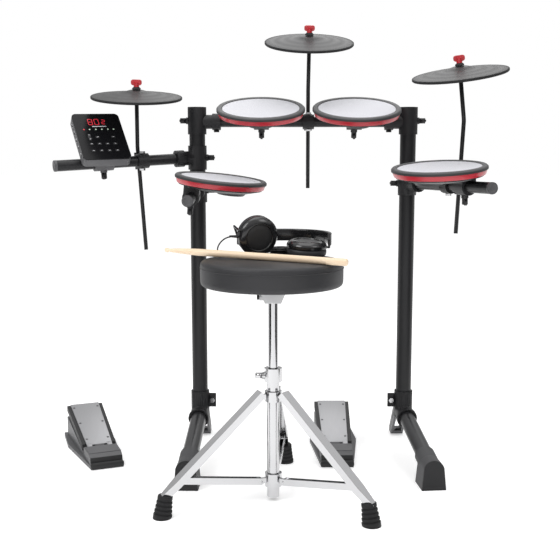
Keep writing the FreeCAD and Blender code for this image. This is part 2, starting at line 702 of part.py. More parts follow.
SNARE_BAR = arm_point(LEFT_POST, SNARE_ARM_HEIGHT, SNARE_ARM, SNARE_ALONG_ARM)
FLOOR_TOM_BAR = arm_point(RIGHT_POST, RIGHT_ARM_HEIGHT, RIGHT_ARM, FLOOR_TOM_ALONG_ARM)
RIGHT_ARM_SIDE = unit(UP.cross(RIGHT_ARM))
LEFT_ARM_BACK = unit(LEFT_ARM.cross(UP))
PAD_PLANS = {
    "left_tom": (tom_bar(LEFT_TOM_X), RIGHT_WAY, BACK_WAY, leaning(TOM_TILT, 0)),
    "right_tom": (tom_bar(RIGHT_TOM_X), RIGHT_WAY, BACK_WAY, leaning(TOM_TILT, 0)),
    "snare": (SNARE_BAR, SNARE_ARM, -RIGHT_WAY, leaning(SNARE_TILT, SNARE_LEAN)),
    "floor_tom": (FLOOR_TOM_BAR, RIGHT_ARM, RIGHT_ARM_SIDE, leaning(FLOOR_TOM_TILT, FLOOR_TOM_LEAN)),
}


# Cymbals


def rod_clamp(bar_point, bar_way, side, rod_way):
    """Block that grips a bar and guides a cymbal rod beside it, with two bolts."""
    half = bar_way * (CLAMP_WIDTH / 2)
    radius = BAR_RADIUS + CLAMP_WALL
    grip = rod(radius, bar_point - half, bar_point + half)
    centre = bar_point + side * ROD_OFFSET
    boss_half = rod_way * (CLAMP_BOSS_HEIGHT / 2)
    boss = rod(CLAMP_BOSS_RADIUS, centre - boss_half, centre + boss_half)
    web_half = CLAMP_WEB_HEIGHT / 2
    web = block(2 * CLAMP_BOSS_RADIUS, ROD_OFFSET, -web_half, web_half, 0, ROD_OFFSET / 2)
    body = grip.fuse([boss, moved(web, frame(bar_point, side, UP))])
    body = body.cut(rod(BAR_RADIUS, bar_point - half * 2, bar_point + half * 2))
    body = body.cut(rod(ROD_RADIUS + RUNNING_CLEARANCE, centre - boss_half * 2, centre + boss_half * 2))
    bolts = []
    for way in (UP, -UP):
        seat = bar_point + way * (radius - BOLT_CLEARANCE)
        bolts.append(hex_bolt(seat, way, CLAMP_WALL - 2 * BOLT_CLEARANCE))
        body = body.cut(bolts[-1])
    return [body.removeSplitter()] + bolts


def rod_points(guide, rod_way, bottom, bend, cymbal):
    """Bottom, bend and top of a cymbal rod that slides through its guide."""
    low = guide + rod_way * ((bottom - guide.z) / rod_way.z)
    knee = guide + rod_way * ((bend - guide.z) / rod_way.z)
    return low, knee, cymbal + unit(cymbal - knee) * ROD_TOP


def make_rod(low, knee, top, cymbal):
    """Bent rod with the cup under the cymbal and the felt above it."""
    first = unit(knee - low)
    second = unit(top - knee)
    half_turn = math.acos(max(-1, min(1, first.dot(second)))) / 2
    back = ROD_BEND_RADIUS * math.tan(half_turn)
    arc_start = knee - first * back
    arc_end = knee + second * back
    middle = knee + unit(second - first) * ROD_BEND_RADIUS * (1 / math.cos(half_turn) - 1)
    path = Part.Wire([Part.makeLine(low, arc_start), Part.Arc(arc_start, middle, arc_end).toShape(),
                      Part.makeLine(arc_end, top)])
    ring = Part.Wire([Part.makeCircle(ROD_RADIUS, low, first)])
    stem = path.makePipeShell([ring], True, False)
    seat = -CYMBAL_THICKNESS / 2 - CYMBAL_SEAT_GAP
    drop = (CUP_RADIUS - ROD_RADIUS) * tangent(FELT_SLOPE)
    cup = turned([(ROD_RADIUS, seat), (CUP_RADIUS, seat - drop), (CUP_RADIUS, seat - CUP_HEIGHT / 2),
                  (ROD_RADIUS + 1, seat - CUP_HEIGHT), (ROD_RADIUS, seat - CUP_HEIGHT)])
    rest = CYMBAL_THICKNESS / 2 + BELL_HEIGHT + CYMBAL_SEAT_GAP
    rise = (FELT_RADIUS - ROD_RADIUS) * tangent(FELT_SLOPE)
    felt = turned([(ROD_RADIUS, rest), (FELT_RADIUS, rest + rise), (FELT_RADIUS, rest + FELT_HEIGHT / 2),
                   (ROD_RADIUS + 1, rest + FELT_HEIGHT), (ROD_RADIUS, rest + FELT_HEIGHT)])
    place = frame(cymbal, BACK_WAY, second)
    return [stem, moved(cup, place), moved(felt, place)]


def make_cymbal(cymbal, axis):
    """Rubber cymbal with its bell and the trigger housing under it."""
    half = CYMBAL_THICKNESS / 2
    bore = ROD_RADIUS + CYMBAL_BORE_CLEARANCE
    disc = turned([(bore, half + BELL_HEIGHT), (BELL_RADIUS, half + BELL_HEIGHT - 1),
                   (BELL_SHOULDER_RADIUS, half), (CYMBAL_RADIUS - CYMBAL_EDGE, half - CYMBAL_DROP),
                   (CYMBAL_RADIUS, half - CYMBAL_DROP - CYMBAL_EDGE / 2),
                   (CYMBAL_RADIUS - CYMBAL_EDGE, half - CYMBAL_DROP - CYMBAL_EDGE),
                   (BELL_SHOULDER_RADIUS, -half), (bore, -half)])
    housing = Part.makeCone(TRIGGER_RADIUS, TRIGGER_RADIUS - half, TRIGGER_DEPTH + half,
                            Vector(0, TRIGGER_OFFSET, -half), -UP)
    slope = CYMBAL_DROP / (CYMBAL_RADIUS - BELL_SHOULDER_RADIUS)
    housing.translate(Vector(0, 0, half - slope * (TRIGGER_OFFSET - BELL_SHOULDER_RADIUS) - half / 2))
    return [moved(disc.fuse(housing).removeSplitter(), frame(cymbal, BACK_WAY, axis))]


def make_nut(cymbal, axis):
    """Wing nut on the rod's thread above the felt."""
    base = CYMBAL_THICKNESS / 2 + BELL_HEIGHT + CYMBAL_SEAT_GAP + FELT_HEIGHT
    hub = Part.makeCylinder(NUT_RADIUS, NUT_HEIGHT, Vector(0, 0, base))
    wings = block(NUT_SPAN, WING_THICKNESS, base + NUT_HEIGHT / 3, base + NUT_HEIGHT / 3 + WING_HEIGHT)
    across = [edge for edge in wings.Edges if abs(edge.tangentAt(edge.FirstParameter).y) > 0.9]
    nut = hub.fuse(wings.makeFillet(WING_CORNER, across))
    nut = nut.cut(Part.makeCylinder(ROD_RADIUS, ROD_TOP, ORIGIN))
    return [moved(nut.removeSplitter(), frame(cymbal, BACK_WAY, axis))]


def rod_lean(angle):
    return Vector(sine(angle), 0, cosine(angle))


ROD_PLANS = {
    "centre": (Vector(CENTRE_ROD_X, 0, CROSSBAR_HEIGHT), RIGHT_WAY, BACK_WAY, rod_lean(0),
               CROSSBAR_HEIGHT - CENTRE_ROD_TAIL, CROSSBAR_HEIGHT + CENTRE_ROD_KNEE, CENTRE_CYMBAL),
    "left": (arm_point(LEFT_POST, LEFT_ARM_HEIGHT, LEFT_ARM, LEFT_ROD_ALONG_ARM), LEFT_ARM, LEFT_ARM_BACK,
             rod_lean(LEFT_ROD_LEAN), LEFT_ARM_HEIGHT - LEFT_ROD_TAIL, LEFT_ARM_HEIGHT + LEFT_ROD_KNEE,
             LEFT_CYMBAL),
    "right": (arm_point(RIGHT_POST, RIGHT_ARM_HEIGHT, RIGHT_ARM, RIGHT_ROD_ALONG_ARM), RIGHT_ARM,
              RIGHT_ARM_SIDE, rod_lean(RIGHT_ROD_LEAN), RIGHT_ARM_HEIGHT - RIGHT_ROD_TAIL,
              RIGHT_ARM_HEIGHT + RIGHT_ROD_KNEE, RIGHT_CYMBAL),
}


# Sound module

MODULE_AXIS = arm_point(LEFT_POST, LEFT_ARM_HEIGHT, LEFT_ARM, MODULE_ALONG_ARM)
MODULE_SLOPE = unit(LEFT_ARM_BACK * cosine(MODULE_TILT) + UP * sine(MODULE_TILT))
MODULE_NORMAL = unit((LEFT_ARM * -1).cross(MODULE_SLOPE))
MODULE_PLACE = frame(MODULE_AXIS + MODULE_SLOPE * MODULE_ARM_FROM_MIDDLE + MODULE_NORMAL * MODULE_ARM_DEPTH,
                     MODULE_SLOPE, MODULE_NORMAL)
KEY_COLUMNS = [(column - 1.5) * KEY_PITCH for column in range(4)]
KEY_ROWS = {
    "side_keys": [(KEY_COLUMNS[1], SIDE_KEY_ROW), (KEY_COLUMNS[3], SIDE_KEY_ROW)],
    "upper_keys": [(x, UPPER_KEY_ROW) for x in KEY_COLUMNS],
    "lower_keys": [(x, LOWER_KEY_ROW) for x in KEY_COLUMNS],
}
VOLUME_KEY_AT = (KEY_COLUMNS[0], SIDE_KEY_ROW)


def make_module():
    """Module case with its arm clamp and knob, and the front panel with its key holes."""
    corner = MODULE_CORNER
    case = rounded_block(MODULE_WIDTH, MODULE_LENGTH, corner, -MODULE_DEPTH, -PANEL_THICKNESS)
    panel = rounded_block(MODULE_WIDTH, MODULE_LENGTH, corner, -PANEL_THICKNESS, 0)
    spots = [(x, y, KEY_WIDTH, KEY_HEIGHT) for row in KEY_ROWS.values() for x, y in row]
    spots.append(VOLUME_KEY_AT + (VOLUME_KEY_WIDTH, VOLUME_KEY_LENGTH))
    well = KEY_DEPTH + KEY_TRAVEL + KEY_FLOOR_GAP
    for x, y, width, height in spots:
        hole = block(width + 2 * KEY_CLEARANCE, height + 2 * KEY_CLEARANCE, -well, 1, x, y)
        case = case.cut(hole)
        panel = panel.cut(hole)
    for number in range(JACK_COUNT):
        y = (number - (JACK_COUNT - 1) / 2) * JACK_PITCH
        middle = Vector(-MODULE_WIDTH / 2, y, -(MODULE_DEPTH + PANEL_THICKNESS) / 2)
        case = case.cut(rod(JACK_RADIUS, middle, middle + RIGHT_WAY * JACK_DEPTH))
    case = moved(case, MODULE_PLACE)
    half = LEFT_ARM * (MODULE_CLAMP_WIDTH / 2)
    grip_radius = BAR_RADIUS + MODULE_CLAMP_WALL
    grip = rod(grip_radius, MODULE_AXIS - half, MODULE_AXIS + half)
    neck = moved(block(MODULE_CLAMP_WIDTH, 2 * grip_radius - NECK_STEP, -MODULE_ARM_DEPTH, -MODULE_DEPTH,
                       0, -MODULE_ARM_FROM_MIDDLE), MODULE_PLACE)
    down = unit(LEFT_ARM * LEFT_ARM.z - UP)
    lug_seat = MODULE_AXIS + down * (grip_radius + BOLT_BOSS_HEIGHT)
    lug = rod(BOLT_BOSS_RADIUS, MODULE_AXIS, lug_seat)
    case = case.fuse([grip, neck, lug])
    case = case.cut(rod(BAR_RADIUS + RUNNING_CLEARANCE, MODULE_AXIS - half * 2, MODULE_AXIS + half * 2))
    case = case.cut(rod(BOLT_RADIUS, MODULE_AXIS, lug_seat)).removeSplitter()
    knob = wing_bolt(lug_seat, down, MODULE_CLAMP_WALL + BOLT_BOSS_HEIGHT - BOLT_CLEARANCE)
    return [case, knob], [moved(panel, MODULE_PLACE)]


def make_keys(spots):
    keys = [block(KEY_WIDTH, KEY_HEIGHT, -KEY_DEPTH, KEY_PROUD, x, y) for x, y in spots]
    return [moved(key, MODULE_PLACE) for key in keys]


def make_volume_key():
    x, y = VOLUME_KEY_AT
    rocker = block(VOLUME_KEY_WIDTH, VOLUME_KEY_LENGTH, -KEY_DEPTH + KEY_TRAVEL, KEY_PROUD, x, y)
    return [moved(rocker, MODULE_PLACE)]


# Foot pedals


def pedal_place(heel, turn):
    return Placement(heel, Rotation(UP, turn))


def plan(start_width, end_width, start, end, height):
    """Upright prism that widens from heel to toe."""
    outline = [Vector(-start_width / 2, start, 0), Vector(start_width / 2, start, 0),
               Vector(end_width / 2, end, 0), Vector(-end_width / 2, end, 0)]
    return prism(outline, Vector(0, 0, height))


def side_profile(points):
    """Side view of a pedal piece pushed across the whole pedal."""
    outline = [Vector(-PEDAL_SKIRT_WIDTH / 2, y, z) for y, z in points]
    return prism(outline, Vector(PEDAL_SKIRT_WIDTH, 0, 0))


def pedal_width(y):
    return PEDAL_HEEL_WIDTH + (PEDAL_TOE_WIDTH - PEDAL_HEEL_WIDTH) * y / PEDAL_LENGTH


FOOTBOARD_TOP = HINGE_HEIGHT + BARREL_RADIUS
HINGE_POINT = Vector(0, HINGE_FROM_HEEL, HINGE_HEIGHT)


def slope_height(y, below, slope):
    """Height of a line that runs at a slope and a depth below the footboard's top."""
    return FOOTBOARD_TOP + (y - HINGE_FROM_HEEL) * tangent(slope) - below / cosine(slope)


def make_pedal_base():
    """Base with its skirt, heel block, toe housing and the middle knuckle of the hinge."""
    half_heel = PEDAL_HEEL_WIDTH / 2
    half_skirt = PEDAL_SKIRT_WIDTH / 2
    half_toe = PEDAL_SKIRT_TOE_WIDTH / 2
    right_side = [Vector(half_heel, 0, 0), Vector(half_skirt, PEDAL_SKIRT_AT, 0),
                  Vector(half_toe, PEDAL_LENGTH, 0)]
    left_side = [Vector(-point.x, point.y, 0) for point in reversed(right_side)]
    skirt = prism(right_side + left_side, Vector(0, 0, PEDAL_FLOOR))
    tall = plan(PEDAL_HEEL_WIDTH, PEDAL_TOE_WIDTH, 0, PEDAL_LENGTH, POST_TOP)
    heel = side_profile([(HEEL_RISE / 3, 0), (HEEL_RISE, HEEL_HEIGHT - HEEL_RISE / 2),
                         (HEEL_RISE * 2, HEEL_HEIGHT), (HEEL_LENGTH, HEEL_HEIGHT), (HEEL_LENGTH, 0)])
    low_slope = FOOTBOARD_SLOPE - PEDAL_PRESS
    below = FOOTBOARD_DEPTH + PLATE_THICKNESS + PEDAL_STOP_GAP
    far = FOOTBOARD_START + FOOTBOARD_LENGTH * cosine(FOOTBOARD_SLOPE)
    housing = side_profile([(HEEL_LENGTH, 0), (HEEL_LENGTH, PEDAL_FLOOR + BARREL_RADIUS / 2),
                            (FOOTBOARD_START, slope_height(FOOTBOARD_START, below, low_slope)),
                            (far, slope_height(far, below, low_slope)), (far, 0)])
    base = skirt.fuse([tall.common(heel), tall.common(housing)])
    half = RIGHT_WAY * (KNUCKLE_LENGTH / 2)
    room = RIGHT_WAY * PEDAL_HEEL_WIDTH
    base = base.cut(rod(BARREL_RADIUS + 1, HINGE_POINT - room, HINGE_POINT + room))
    knuckle = rod(BARREL_RADIUS, HINGE_POINT - half, HINGE_POINT + half)
    stem = block(KNUCKLE_LENGTH, 2 * BARREL_RADIUS, PEDAL_FLOOR, HINGE_HEIGHT, 0, HINGE_FROM_HEEL)
    base = base.fuse([knuckle, stem]).cut(rod(PIN_RADIUS, HINGE_POINT - room, HINGE_POINT + room))
    return base.removeSplitter()


def make_pedal_pin():
    """Hinge pin with a return spring on each side of the middle knuckle."""
    half = RIGHT_WAY * (PIN_LENGTH / 2)
    pin = rod(PIN_RADIUS, HINGE_POINT - half, HINGE_POINT + half)
    pieces = [pin]
    inner = KNUCKLE_LENGTH / 2 + KEY_CLEARANCE
    outer = PIN_LENGTH / 2 - BARREL_LENGTH - KEY_CLEARANCE
    for way in (RIGHT_WAY, -RIGHT_WAY):
        sleeve = rod(SPRING_RADIUS, HINGE_POINT + way * inner, HINGE_POINT + way * outer)
        pieces.append(sleeve.cut(pin))
    return pieces


def make_footboard():
    """Treadle that tilts on the hinge, and the metal plate screwed on it."""
    far = FOOTBOARD_START + FOOTBOARD_LENGTH * cosine(FOOTBOARD_SLOPE)
    depth = FOOTBOARD_DEPTH + PLATE_THICKNESS

    def band(top, bottom, start):
        return side_profile([(start, slope_height(start, top, FOOTBOARD_SLOPE)),
                             (start, slope_height(start, bottom, FOOTBOARD_SLOPE)),
                             (far, slope_height(far, bottom, FOOTBOARD_SLOPE)),
                             (far, slope_height(far, top, FOOTBOARD_SLOPE))])

    start_width = pedal_width(FOOTBOARD_START)
    end_width = pedal_width(far)
    outline = plan(start_width, end_width, FOOTBOARD_START, far, POST_TOP)
    treadle = outline.common(band(PLATE_THICKNESS, depth, FOOTBOARD_START))
    margin = 2 * FOOTBOARD_MARGIN
    narrow = plan(start_width - margin, end_width - margin, HINGE_FROM_HEEL, far, POST_TOP)
    plate = narrow.common(band(0, PLATE_THICKNESS, HINGE_FROM_HEEL))
    notch = block(PIN_LENGTH - 2 * BARREL_LENGTH, 2 * BARREL_RADIUS, 0, POST_TOP, 0, HINGE_FROM_HEEL)
    plate = plate.cut(notch)
    for way in (RIGHT_WAY, -RIGHT_WAY):
        inner = HINGE_POINT + way * (PIN_LENGTH / 2 - BARREL_LENGTH)
        outer = HINGE_POINT + way * (PIN_LENGTH / 2)
        barrel = rod(BARREL_RADIUS - PLATE_THICKNESS - KEY_CLEARANCE, inner, outer)
        middle = (inner + outer) / 2
        tongue = block(BARREL_LENGTH, FOOTBOARD_START - HINGE_FROM_HEEL + 1, HINGE_HEIGHT - PIN_RADIUS,
                       HINGE_HEIGHT + PIN_RADIUS, middle.x, (HINGE_FROM_HEEL + FOOTBOARD_START + 1) / 2)
        treadle = treadle.fuse([barrel, tongue])
    room = RIGHT_WAY * PEDAL_HEEL_WIDTH
    bore = rod(PIN_RADIUS + RUNNING_CLEARANCE, HINGE_POINT - room, HINGE_POINT + room)
    return [treadle.cut(bore).removeSplitter(), plate.cut(bore)]


# Throne


def throne_way(number):
    turn = THRONE_TURN + number * 360 / THRONE_LEG_COUNT
    return Vector(sine(turn), cosine(turn), 0)


def hub(height, length, reach):
    """Ring on the column with a forked ear for each leg or brace."""
    bottom = THRONE + UP * (height - length / 2)
    radius = COLUMN_DIAMETER / 2 + HUB_WALL
    body = Part.makeCylinder(radius, length, bottom)
    ear = block(EAR_THICKNESS, reach, height - EAR_RADIUS, height + EAR_RADIUS, 0, reach / 2)
    half = RIGHT_WAY * (EAR_THICKNESS / 2)
    pivot = Vector(0, reach, height)
    ear = ear.fuse(rod(EAR_RADIUS, pivot - half, pivot + half))
    for number in range(THRONE_LEG_COUNT):
        body = body.fuse(moved(ear, frame(THRONE, throne_way(number), UP)))
    return body.cut(Part.makeCylinder(COLUMN_DIAMETER / 2, length, bottom)).removeSplitter()


LEG_TOP = Vector(0, LEG_PIVOT_OUT, UPPER_HUB_HEIGHT)
LEG_FOOT = Vector(0, FOOT_OUT, FOOT_PIVOT_HEIGHT)
LEG_WAY = unit(LEG_FOOT - LEG_TOP)
BRACE_TOP = LEG_TOP + LEG_WAY * BRACE_ALONG_LEG
BRACE_LOW = Vector(0, LEG_PIVOT_OUT, LOWER_HUB_HEIGHT)
BRACE_WAY = unit(BRACE_TOP - BRACE_LOW)


def make_throne_leg():
    """Channel-section leg from the upper hub to the rubber foot, open underneath."""
    length = (LEG_FOOT - LEG_TOP).Length
    wall = LEG_CHANNEL_WALL
    lead = LEG_CHANNEL_LEAD
    low = LEG_PIVOT_INSET - LEG_CHANNEL_DEPTH / 2
    outer = Part.makeBox(LEG_CHANNEL_WIDTH, LEG_CHANNEL_DEPTH, length + lead,
                         Vector(-LEG_CHANNEL_WIDTH / 2, low, -lead))
    inner = Part.makeBox(LEG_CHANNEL_WIDTH - 2 * wall, LEG_CHANNEL_DEPTH, length + 2 * lead,
                         Vector(wall - LEG_CHANNEL_WIDTH / 2, low - wall, -1.5 * lead))
    outward = Vector(0, -LEG_WAY.z, LEG_WAY.y)
    return moved(outer.cut(inner), frame(LEG_TOP, outward, LEG_WAY))


def make_brace():
    """Pair of flat straps from the lower hub's ear to a leg."""
    length = (BRACE_TOP - BRACE_LOW).Length
    straps = []
    for side in (1, -1):
        offset = side * (EAR_THICKNESS / 2 + EAR_CLEARANCE + BRACE_THICKNESS / 2)
        bar = Part.makeBox(BRACE_THICKNESS, BRACE_WIDTH, length + BRACE_WIDTH,
                           Vector(offset - BRACE_THICKNESS / 2, -BRACE_WIDTH / 2, -BRACE_WIDTH / 2))
        ends = [edge for edge in bar.Edges if abs(edge.tangentAt(edge.FirstParameter).x) > 0.9]
        bar = bar.makeFillet(BRACE_WIDTH / 2.2, ends)
        straps.append(moved(bar, frame(BRACE_LOW, Vector(0, -BRACE_WAY.z, BRACE_WAY.y), BRACE_WAY)))
    return straps


def make_throne_foot():
    """Ribbed rubber foot with a slot for the leg's end."""
    step = FOOT_HEIGHT / (FOOT_RIB_COUNT + 1)
    taper = (FOOT_RADIUS - FOOT_TOP_RADIUS) / (FOOT_RIB_COUNT + 1)
    profile = [(0, 0), (FOOT_RADIUS, 0)]
    for number in range(FOOT_RIB_COUNT):
        radius = FOOT_RADIUS - taper * number
        profile.append((radius, step * (number + 0.55)))
        profile.append((radius - FOOT_RIB, step * (number + 0.65)))
        profile.append((radius - FOOT_RIB, step * (number + 1)))
        profile.append((radius - taper, step * (number + 1)))
    profile += [(FOOT_TOP_RADIUS, FOOT_HEIGHT), (0, FOOT_HEIGHT)]
    foot = turned(profile)
    foot.translate(Vector(0, FOOT_OUT - FOOT_TOP_RADIUS / 2, 0))
    width = LEG_CHANNEL_WIDTH
    slot = Part.makeBox(width, LEG_CHANNEL_DEPTH, (LEG_FOOT - LEG_TOP).Length,
                        Vector(-width / 2, LEG_PIVOT_INSET - LEG_CHANNEL_DEPTH / 2, 0))
    return foot.cut(moved(slot, frame(LEG_TOP, Vector(0, -LEG_WAY.z, LEG_WAY.y), LEG_WAY)))


def round_throne(shapes):
    """Copies of one leg's pieces round the column."""
    return [moved(shape, frame(THRONE, throne_way(number), UP))
            for number in range(THRONE_LEG_COUNT) for shape in shapes]


def make_rivets():
    """Rivets through the ends of legs and braces."""
    wide = RIGHT_WAY * (LEG_CHANNEL_WIDTH / 2 - LEG_CHANNEL_WALL)
    narrow = RIGHT_WAY * (EAR_THICKNESS / 2 + EAR_CLEARANCE + BRACE_THICKNESS)
    return [rod(RIVET_RADIUS, LEG_TOP - wide, LEG_TOP + wide),
            rod(RIVET_RADIUS, BRACE_TOP - wide, BRACE_TOP + wide),
            rod(RIVET_RADIUS, BRACE_LOW - narrow, BRACE_LOW + narrow)]


def make_column():
    """Outer tube of the throne."""
    return [tube(COLUMN_DIAMETER, COLUMN_WALL, THRONE + UP * COLUMN_BOTTOM, THRONE + UP * COLUMN_TOP)]


def make_height_clamp():
    """Collar on top of the column that guides and locks the seat tube, with its wing bolt."""
    bottom = COLUMN_TOP - CLAMP_COLLAR_HEIGHT
    top = COLUMN_TOP + CLAMP_COLLAR_LID
    body = rod(CLAMP_COLLAR_RADIUS, THRONE + UP * bottom, THRONE + UP * top)
    middle = THRONE + UP * (bottom + CLAMP_COLLAR_HEIGHT / 2)
    seat = middle - RIGHT_WAY * (CLAMP_COLLAR_RADIUS + BOLT_BOSS_HEIGHT)
    body = body.fuse(rod(BOLT_BOSS_RADIUS, middle, seat))
    body = body.cut(rod(COLUMN_DIAMETER / 2, THRONE + UP * bottom, THRONE + UP * COLUMN_TOP))
    body = body.cut(rod(SEAT_TUBE_DIAMETER / 2 + RUNNING_CLEARANCE, THRONE, THRONE + UP * top))
    body = body.cut(rod(BOLT_RADIUS, seat, middle))
    depth = CLAMP_COLLAR_RADIUS + BOLT_BOSS_HEIGHT - COLUMN_DIAMETER / 2 - BOLT_CLEARANCE
    return body.removeSplitter(), wing_bolt(seat, -RIGHT_WAY, depth)


def make_seat_tube():
    """Inner tube with its row of height holes."""
    low = THRONE + UP * SEAT_TUBE_BOTTOM
    body = tube(SEAT_TUBE_DIAMETER, SEAT_TUBE_WALL, low, THRONE + UP * SEAT_TUBE_TOP)
    for number in range(HEIGHT_HOLE_COUNT):
        middle = THRONE + UP * (HEIGHT_HOLE_LOWEST + number * HEIGHT_HOLE_PITCH)
        body = body.cut(rod(HEIGHT_HOLE_RADIUS, middle, middle - RIGHT_WAY * SEAT_TUBE_DIAMETER))
    return [body]


def make_seat_bracket():
    """Pressed bracket under the seat, bored for the seat tube, with the plate that carries the cushion."""
    half_top = BRACKET_TOP_WIDTH / 2
    half_low = BRACKET_BOTTOM_WIDTH / 2
    top = SEAT_BOTTOM - BRACKET_PLATE
    outline = [Vector(-half_low, 0, BRACKET_BOTTOM), Vector(half_low, 0, BRACKET_BOTTOM),
               Vector(half_top, 0, top), Vector(-half_top, 0, top)]
    body = prism(outline, Vector(0, BRACKET_BOTTOM_WIDTH, 0))
    body.translate(Vector(0, -half_low, 0))
    plate = rounded_block(BRACKET_PLATE_LENGTH, BRACKET_PLATE_WIDTH, BRACKET_PLATE * 2, top, SEAT_BOTTOM)
    body = body.fuse(plate)
    body.translate(THRONE)
    bore = SEAT_TUBE_DIAMETER / 2 + BRACKET_BORE_CLEARANCE
    middle = THRONE + UP * (BRACKET_BOTTOM + BOLT_BOSS_RADIUS + BOLT_BOSS_HEIGHT)
    seat = middle - RIGHT_WAY * BRACKET_BOSS_REACH
    body = body.fuse(rod(BOLT_BOSS_RADIUS, middle, seat))
    body = body.cut(rod(bore, THRONE + UP * BRACKET_BOTTOM, THRONE + UP * (SEAT_TUBE_TOP + REST_GAP)))
    body = body.cut(rod(BOLT_RADIUS, seat, middle))
    return [body.removeSplitter(), hex_bolt(seat, -RIGHT_WAY, half_low)]


CROWN_RADIUS = SEAT_RADIUS - SEAT_SIDE_BULGE - SEAT_CORNER
CROWN_SPHERE = (CROWN_RADIUS ** 2 + SEAT_CROWN ** 2) / (2 * SEAT_CROWN)


def crown_height(radius):
    """Height of the seat's crowned top at a distance from its middle."""
    return SEAT_TOP - CROWN_SPHERE + math.sqrt(CROWN_SPHERE ** 2 - radius ** 2)


def on_seat(x, y, above):
    """Point above the seat's top."""
    return Vector(x, y, crown_height(math.hypot(x - THRONE_X, y - THRONE_Y)) + above)


def make_cushion():
    """Round padded seat: crowned top, swelling sides drawn in to the board."""
    low = SEAT_BOTTOM
    high = SEAT_BOTTOM + SEAT_HEIGHT
    corner = SEAT_CORNER
    side = SEAT_RADIUS - SEAT_SIDE_BULGE
    inner = CROWN_RADIUS
    shoulder = Vector(inner + corner * sine(45), 0, high - corner * (1 - cosine(45)))
    centre_top = Vector(0, 0, SEAT_TOP)
    inner_top = Vector(inner, 0, high)
    crown_middle = Vector(inner / 2, 0, crown_height(inner / 2))
    upper_side = Vector(side, 0, high - corner)
    bulge = Vector(SEAT_RADIUS, 0, (low + high) / 2)
    lower_side = Vector(side, 0, low + side - SEAT_BOARD_RADIUS)
    board = Vector(SEAT_BOARD_RADIUS, 0, low)
    edges = [Part.makeLine(Vector(0, 0, low), board), Part.makeLine(board, lower_side),
             Part.Arc(lower_side, bulge, upper_side).toShape(),
             Part.Arc(upper_side, shoulder, inner_top).toShape(),
             Part.Arc(inner_top, crown_middle, centre_top).toShape(),
             Part.makeLine(centre_top, Vector(0, 0, low))]
    cushion = Part.Face(Part.Wire(edges)).revolve(ORIGIN, UP, 360)
    cushion.translate(THRONE)
    return [cushion]


# Stick


def make_stick():
    """Turned stick with a tapered neck and an acorn tip, lying across the seat."""
    body = STICK_LENGTH - STICK_TAPER
    tip = STICK_TIP_RADIUS
    stick = turned([(0, 0), (STICK_RADIUS - 2, 0), (STICK_RADIUS, 3), (STICK_RADIUS, body),
                    (STICK_NECK_RADIUS, STICK_LENGTH - 2 * tip), (tip, STICK_LENGTH - 1.4 * tip),
                    (tip, STICK_LENGTH - tip / 2), (tip / 2, STICK_LENGTH), (0, STICK_LENGTH)])
    height = SEAT_TOP + STICK_RADIUS + REST_GAP
    return [moved(stick, frame(STICK_BUTT + UP * height, UP, STICK_HEADING))]


# Headphones


def band_point(angle):
    """Point of the headband's middle line, from the apex at the back, positive to the right."""
    return BAND_CENTRE + Vector(BAND_RADIUS * sine(angle), BAND_RADIUS * cosine(angle), 0)


LEFT_BAND_END = band_point(-BAND_LEFT_END)
RIGHT_BAND_END = band_point(BAND_RIGHT_END)
LEFT_CUP_AXIS = unit(LEFT_CUP_FACING)
RIGHT_CUP_AXIS = unit(RIGHT_CUP_FACING)


def cup_lift(axis):
    """Height of a cup's middle above the seat that its ear pad touches."""
    flat = math.sqrt(1 - axis.z ** 2)
    return max(0, axis.z) * EAR_PAD_DEPTH + flat * EAR_PAD_RADIUS + REST_GAP


LEFT_CUP = on_seat(LEFT_CUP_X, LEFT_CUP_Y, cup_lift(LEFT_CUP_AXIS) + LEFT_CUP_SWING_GAP)
RIGHT_CUP = on_seat(RIGHT_CUP_X, RIGHT_CUP_Y, cup_lift(RIGHT_CUP_AXIS))


def make_cup(centre, axis):
    """Ear cup: rounded shell in front and a ring-shaped ear pad behind."""
    shell = turned([(0, CUP_SHELL_DEPTH), (CUP_FACE_RADIUS, CUP_SHELL_DEPTH),
                    (CUP_SHELL_RADIUS * 0.86, CUP_SHELL_DEPTH * 0.75),
                    (CUP_SHELL_RADIUS, CUP_SHELL_DEPTH * 0.3), (CUP_SHELL_RADIUS, 0), (0, 0)])
    inner = EAR_PAD_RADIUS - EAR_PAD_SWELL
    pad = turned([(EAR_PAD_HOLE, 0), (inner, 0), (EAR_PAD_RADIUS, -EAR_PAD_SWELL),
                  (EAR_PAD_RADIUS, -EAR_PAD_DEPTH + 2 * EAR_PAD_SWELL), (inner, -EAR_PAD_DEPTH),
                  (EAR_PAD_HOLE + EAR_PAD_SWELL, -EAR_PAD_DEPTH),
                  (EAR_PAD_HOLE, -EAR_PAD_DEPTH + EAR_PAD_SWELL)])
    place = frame(centre, UP + BACK_WAY, axis)
    return [moved(shell, place), moved(pad, place)]


def hanger(end, centre, axis, lift):
    """Points of the arm from a band's end round the ear pad to the pin that holds a cup."""
    offset = end - centre
    depth = offset.dot(axis)
    side = unit(offset - axis * depth)
    side = side * cosine(lift) + axis.cross(side) * sine(lift)
    back = centre + side * HANGER_REACH + axis * max(depth, -HANGER_SET_BACK)
    turn = centre + side * HANGER_REACH + axis * PIVOT_DEPTH
    return [end, back, turn, centre + axis * PIVOT_DEPTH]


LEFT_HANGER = hanger(LEFT_BAND_END, LEFT_CUP, LEFT_CUP_AXIS, -LEFT_PIVOT_LIFT)
RIGHT_HANGER = hanger(RIGHT_BAND_END, RIGHT_CUP, RIGHT_CUP_AXIS, 0)


